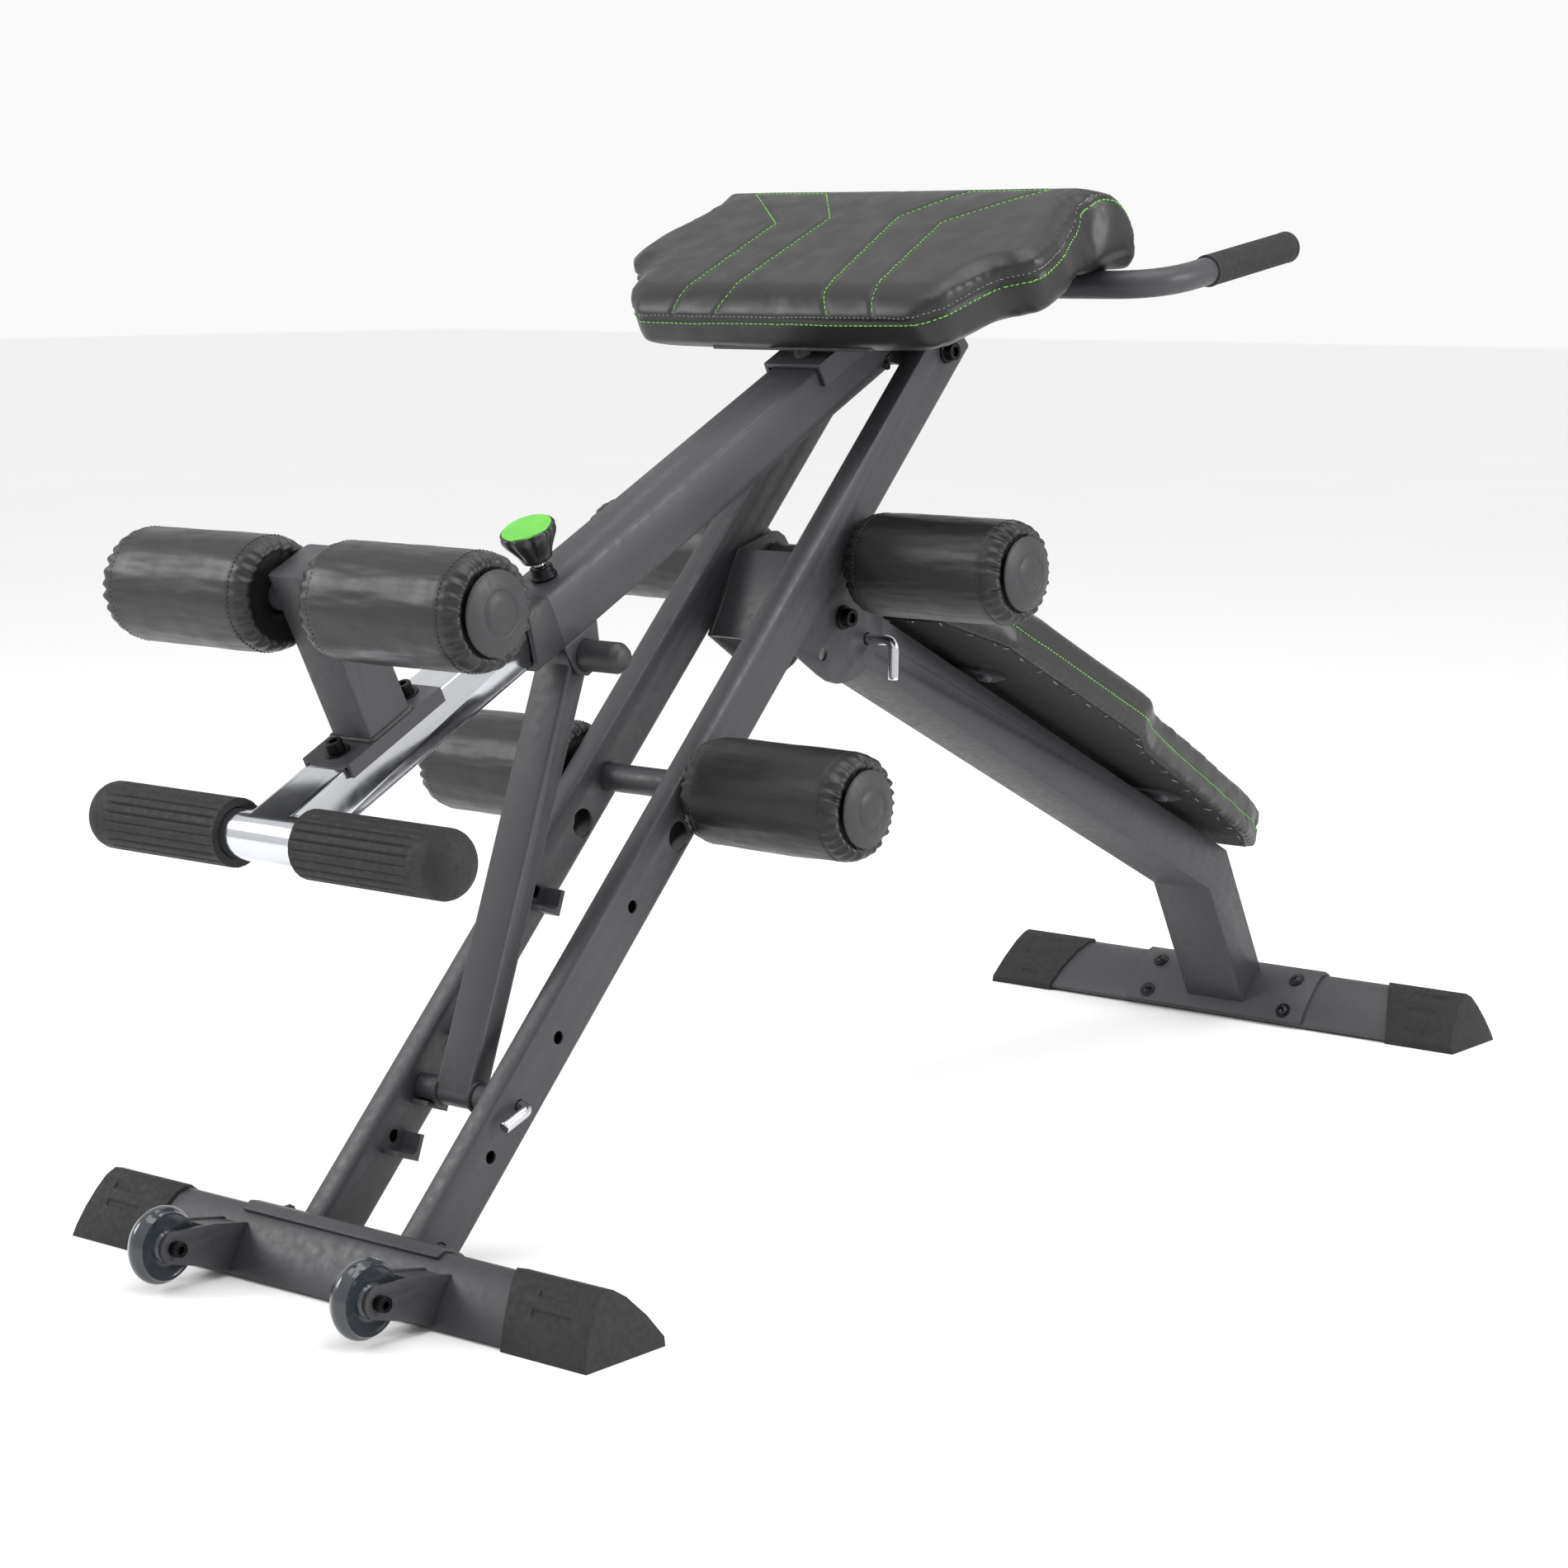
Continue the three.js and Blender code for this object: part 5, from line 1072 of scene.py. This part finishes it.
@dataclass
class BackPad:
    """The long back pad with its edge seam, stitched strips, backing cloth and staples."""

    low: float = 38.8 * MM
    high: float = 81.5 * MM
    start: float = 97 * MM
    length: float = 763 * MM
    half: tuple[tuple[float, float], ...] = ((60, 0.007), (100, 0), (137, 0.085), (143, 0.097), (147, 0.41),
                                             (146, 0.46), (123, 0.525), (107, 0.7), (82, 0.93), (63, 1))

    def rim(self, inset: float, w: float) -> list[Vector]:
        """The pad's outline, moved in by inset, at a height."""
        right = []
        for x, share in self.half:
            s = self.start + share * self.length
            s = min(max(s, self.start + inset), self.start + self.length - inset)
            right.append((x * MM - inset, s))
        both = right + [(-x, s) for x, s in reversed(right)]
        return [REAR.at(x, s, w) for x, s in both + both[:1]]

    def build(self) -> None:
        """Blows the pad up, sews it and closes its underside."""
        cushion = Cushion("back_pad", 5.5 * MM, 7, out=REAR.out, base=REAR.origin)
        pad = cushion.build()
        seam = Seam(pad)
        edge = self.rim(0, self.high - 15 * MM)
        marks = []
        for side in Side:
            for first, second in ((0.10, 0.36), (0.54, 0.90)):
                wide = 92 if first < 0.5 else 62
                a = REAR.at(side.value * wide * MM, self.start + first * self.length, self.high)
                b = REAR.at(side.value * (wide - 26) * MM, self.start + (first + second) / 2 * self.length, self.high)
                c = REAR.at(side.value * (wide - 4) * MM, self.start + second * self.length, self.high)
                marks.append([a, b, c])
        seam.sink([edge], 1.6 * MM, 5 * MM)
        seam.sink(marks, 1.2 * MM, 6 * MM)
        for face in pad.data.polygons:
            face.use_smooth = True
        pad.data.materials.clear()
        pad.data.materials.append(VINYL.material())
        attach(pad, "rear")
        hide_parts("back_pad")
        seam.thread("back_pad_edge_green", [p - REAR.out * (3 * MM) for p in edge], THREAD, "rear")
        for i, line in enumerate(marks):
            seam.thread(f"back_pad_strip_{i + 1}", line, THREAD, "rear")
        self.underside()

    def underside(self) -> None:
        """The cloth under the board, turned in and stapled."""
        rim = self.rim(9 * MM, self.low - 0.2 * MM)[:-1]
        mesh = bmesh.new()
        face = mesh.faces.new([mesh.verts.new(p) for p in rim])
        grown = bmesh.ops.extrude_face_region(mesh, geom=[face])
        for vertex in (g for g in grown["geom"] if isinstance(g, bmesh.types.BMVert)):
            vertex.co += REAR.out * (1.2 * MM)
        bmesh.ops.recalc_face_normals(mesh, faces=mesh.faces)
        settle("back_pad_backing", mesh, BACKING, "rear")
        parts = []
        closed = self.rim(14 * MM, self.low - 0.7 * MM)
        for i, point in enumerate(dense(closed, 34 * MM)):
            turn = random.uniform(-0.4, 0.4)
            half = Vector((math.cos(turn), 0, 0)) * (4.6 * MM) + REAR.along * (4.6 * MM * math.sin(turn))
            if i % 2:
                half = REAR.along * (4.6 * MM * math.cos(turn)) + Vector((4.6 * MM * math.sin(turn), 0, 0))
            sink = REAR.out * (0.8 * MM)
            parts.append(swept([point - half + sink, point - half, point + half, point + half + sink], 0.42 * MM, 6))
        settle("back_pad_staples", joined(parts), ZINC, "rear", sharp=80)


@dataclass
class FoamRollers:
    """Foam rollers in vinyl skins, gathered round their end plugs."""

    pleats: int = 26
    around: int = 208

    def profile(self, length: float, r: float) -> list[tuple[float, float, float, float]]:
        """Rows of (radius, place along, pleat depth, crease depth) from bore to mouth."""
        end = [(28, 5.2, 0.4, 0), (34, 4.4, 1.2, 0), (37.6, 2.6, 2.6, 0), (40, 1.6, 4.2, 0.1), (42.2, 1.4, 5.2, 0.2),
               (44.6, 2.0, 5.6, 0.3), (46.8, 3.8, 5.0, 0.4), (48.8, 6.6, 4.0, 0.5), (50.2, 10, 2.8, 0.7),
               (51.2, 14, 1.4, 0.9), (50.9, 16.4, 0.6, 0.9), (51.8, 19.5, 0.2, 1.0)]
        rows = [(14.8, 20, 0, 0), (14.8, 5.6, 0, 0), *end]
        out = [(a * MM, b * MM, c * MM, d * MM) for a, b, c, d in rows]
        steps = 34
        for i in range(1, steps):
            share = i / steps
            crown = 0.5 * MM * math.sin(math.pi * share)
            out.append((r + crown - 0.2 * MM, 19.5 * MM + share * (length - 39 * MM), 0.0, 1.0 * MM))
        out += [(a * MM, length - b * MM, c * MM, d * MM) for a, b, c, d in reversed(end)]
        return out

    def build_one(self, name: str, body: str, side: Side, seed: float) -> None:
        """Builds one roller, its gathered end outwards."""
        low, high = (Vector(v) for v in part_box(name))
        r = (high.z - low.z) / 2
        length = high.x - low.x
        inner = low.x if side is Side.RIGHT else high.x
        centre = Vector((inner, (low.y + high.y) / 2, (low.z + high.z) / 2))
        mesh = bmesh.new()
        rings = []
        for radius, along, pleat, crease in self.profile(length, r):
            ring = []
            for k in range(self.around):
                a = math.tau * k / self.around
                wander = 0.8 * noise.noise(Vector((2.2 * math.cos(a), 2.2 * math.sin(a), seed)))
                fold = 0.5 + 0.5 * math.sin(self.pleats * a + 3.2 * wander + seed)
                deep = 0.6 + 0.8 * noise.noise(Vector((3 * math.cos(a), 3 * math.sin(a), seed + 7)))
                spot = Vector((along * 14, 4.0 * math.cos(a) + seed, 4.0 * math.sin(a)))
                dent = noise.fractal(spot, 1.0, 2.0, 3)
                rr = radius - pleat * (1 - fold ** 0.7) * deep * 0.75 + crease * 0.75 * dent
                push = pleat * (fold - 0.3) * deep * 0.55
                x = side.value * (along + (push if along > length / 2 else -0.3 * push))
                ring.append(mesh.verts.new(centre + Vector((x, rr * math.cos(a), rr * math.sin(a)))))
            rings.append(ring)
        for first, second in zip(rings, rings[1:]):
            for k in range(self.around):
                mesh.faces.new((first[k], first[(k + 1) % self.around], second[(k + 1) % self.around], second[k]))
        mesh.faces.new(rings[0])
        mesh.faces.new(list(reversed(rings[-1])))
        bmesh.ops.recalc_face_normals(mesh, faces=mesh.faces)
        piece = settle(name + "_skin", mesh, ROLLER, body, (name,), 100)
        seam = Seam(piece)
        for word, inset in (("outer", length - 18.5 * MM), ("inner", 18.5 * MM)):
            ring = [centre + Vector((side.value * inset, 53 * MM * math.cos(a), 53 * MM * math.sin(a)))
                    for a in (math.tau * k / 72 for k in range(73))]
            seam.thread(f"{name}_hem_{word}", ring, BLACK_THREAD, body, 3.0 * MM, 4.6 * MM, 0.35 * MM)

    def build(self) -> None:
        """Builds the six rollers."""
        for i, row in enumerate(("lower", "upper", "foot")):
            for side in Side:
                name = f"{row}_roller_{side.word}"
                self.build_one(name, name + "_body", side, 1.7 * i + 0.6 * side.value)


BLACK_THREAD = Thread("black_thread", "roller_vinyl", "#2a2a2b", "#161617")


# ------------------------------------------------------------------ stage
@dataclass
class Studio:
    """A pale floor, soft lights and the camera."""

    eye: Vector = field(default_factory=lambda: Vector((2.19422, -2.79184, 0.91974)))
    azimuth: float = 39.02
    elevation: float = 8.69
    lens: float = 79.005

    def floor(self) -> None:
        """Lays a wide pale floor."""
        mesh = bmesh.new()
        bmesh.ops.create_grid(mesh, x_segments=1, y_segments=1, size=30)
        data = bpy.data.meshes.new("floor")
        mesh.to_mesh(data)
        mesh.free()
        floor = bpy.data.objects.new("floor", data)
        bpy.context.collection.objects.link(floor)
        sheet = Sheet("pale_floor")
        sheet.set(Base_Color=sheet.blend(sheet.pattern(0.8), "#f4f4f4", "#f8f8f8"), Roughness=0.6)
        data.materials.append(sheet.material)

    def lamp(self, name: str, spot: tuple[float, float, float], size: float, power: float) -> None:
        """Hangs a square soft light aimed at the middle of the bench."""
        light = bpy.data.lights.new(name, "AREA")
        light.shape = "SQUARE"
        light.size = size
        light.energy = power
        holder = bpy.data.objects.new(name, light)
        bpy.context.collection.objects.link(holder)
        aim = Vector((0, 0, 0.5)) - Vector(spot)
        holder.matrix_world = basis(Vector(spot), -aim)

    def build(self) -> None:
        """Sets the stage."""
        self.floor()
        world = bpy.data.worlds.new("studio")
        world.use_nodes = True
        world.node_tree.nodes["Background"].inputs["Color"].default_value = (1, 1, 1, 1)
        world.node_tree.nodes["Background"].inputs["Strength"].default_value = 0.95
        bpy.context.scene.world = world
        self.lamp("overhead", (0.6, -0.4, 3.4), 2.6, 60)
        self.lamp("left", (-2.6, -2.6, 2.2), 1.4, 60)
        self.lamp("right", (3.4, 0.8, 1.8), 1.2, 70)
        camera = bpy.data.cameras.new("camera")
        camera.lens = self.lens
        camera.sensor_width = 36
        camera.clip_end = 100
        holder = bpy.data.objects.new("camera", camera)
        bpy.context.collection.objects.link(holder)
        a, e = math.radians(self.azimuth), math.radians(self.elevation)
        back = Vector((math.sin(a) * math.cos(e), -math.cos(a) * math.cos(e), math.sin(e)))
        holder.matrix_world = basis(self.eye, back)
        bpy.context.scene.camera = holder
        bpy.context.scene.view_settings.view_transform = "Standard"


def main() -> None:
    """Builds the bench and its stage, class by class."""
    logging.basicConfig(level=logging.INFO, format="%(message)s")
    random.seed(7)
    Studio().build()
    Steelwork().dress()
    WeldBeads().build()
    Screws().build()
    SocketBolts().build()
    TransportWheels().build()
    FootGrips().build()
    PullKnob().build()
    LockPins().build()
    Handlebar().build()
    RollerCaps().build()
    FoamRollers().build()
    HipPad().build()
    BackPad().build()


if __name__ == "__main__":
    main()
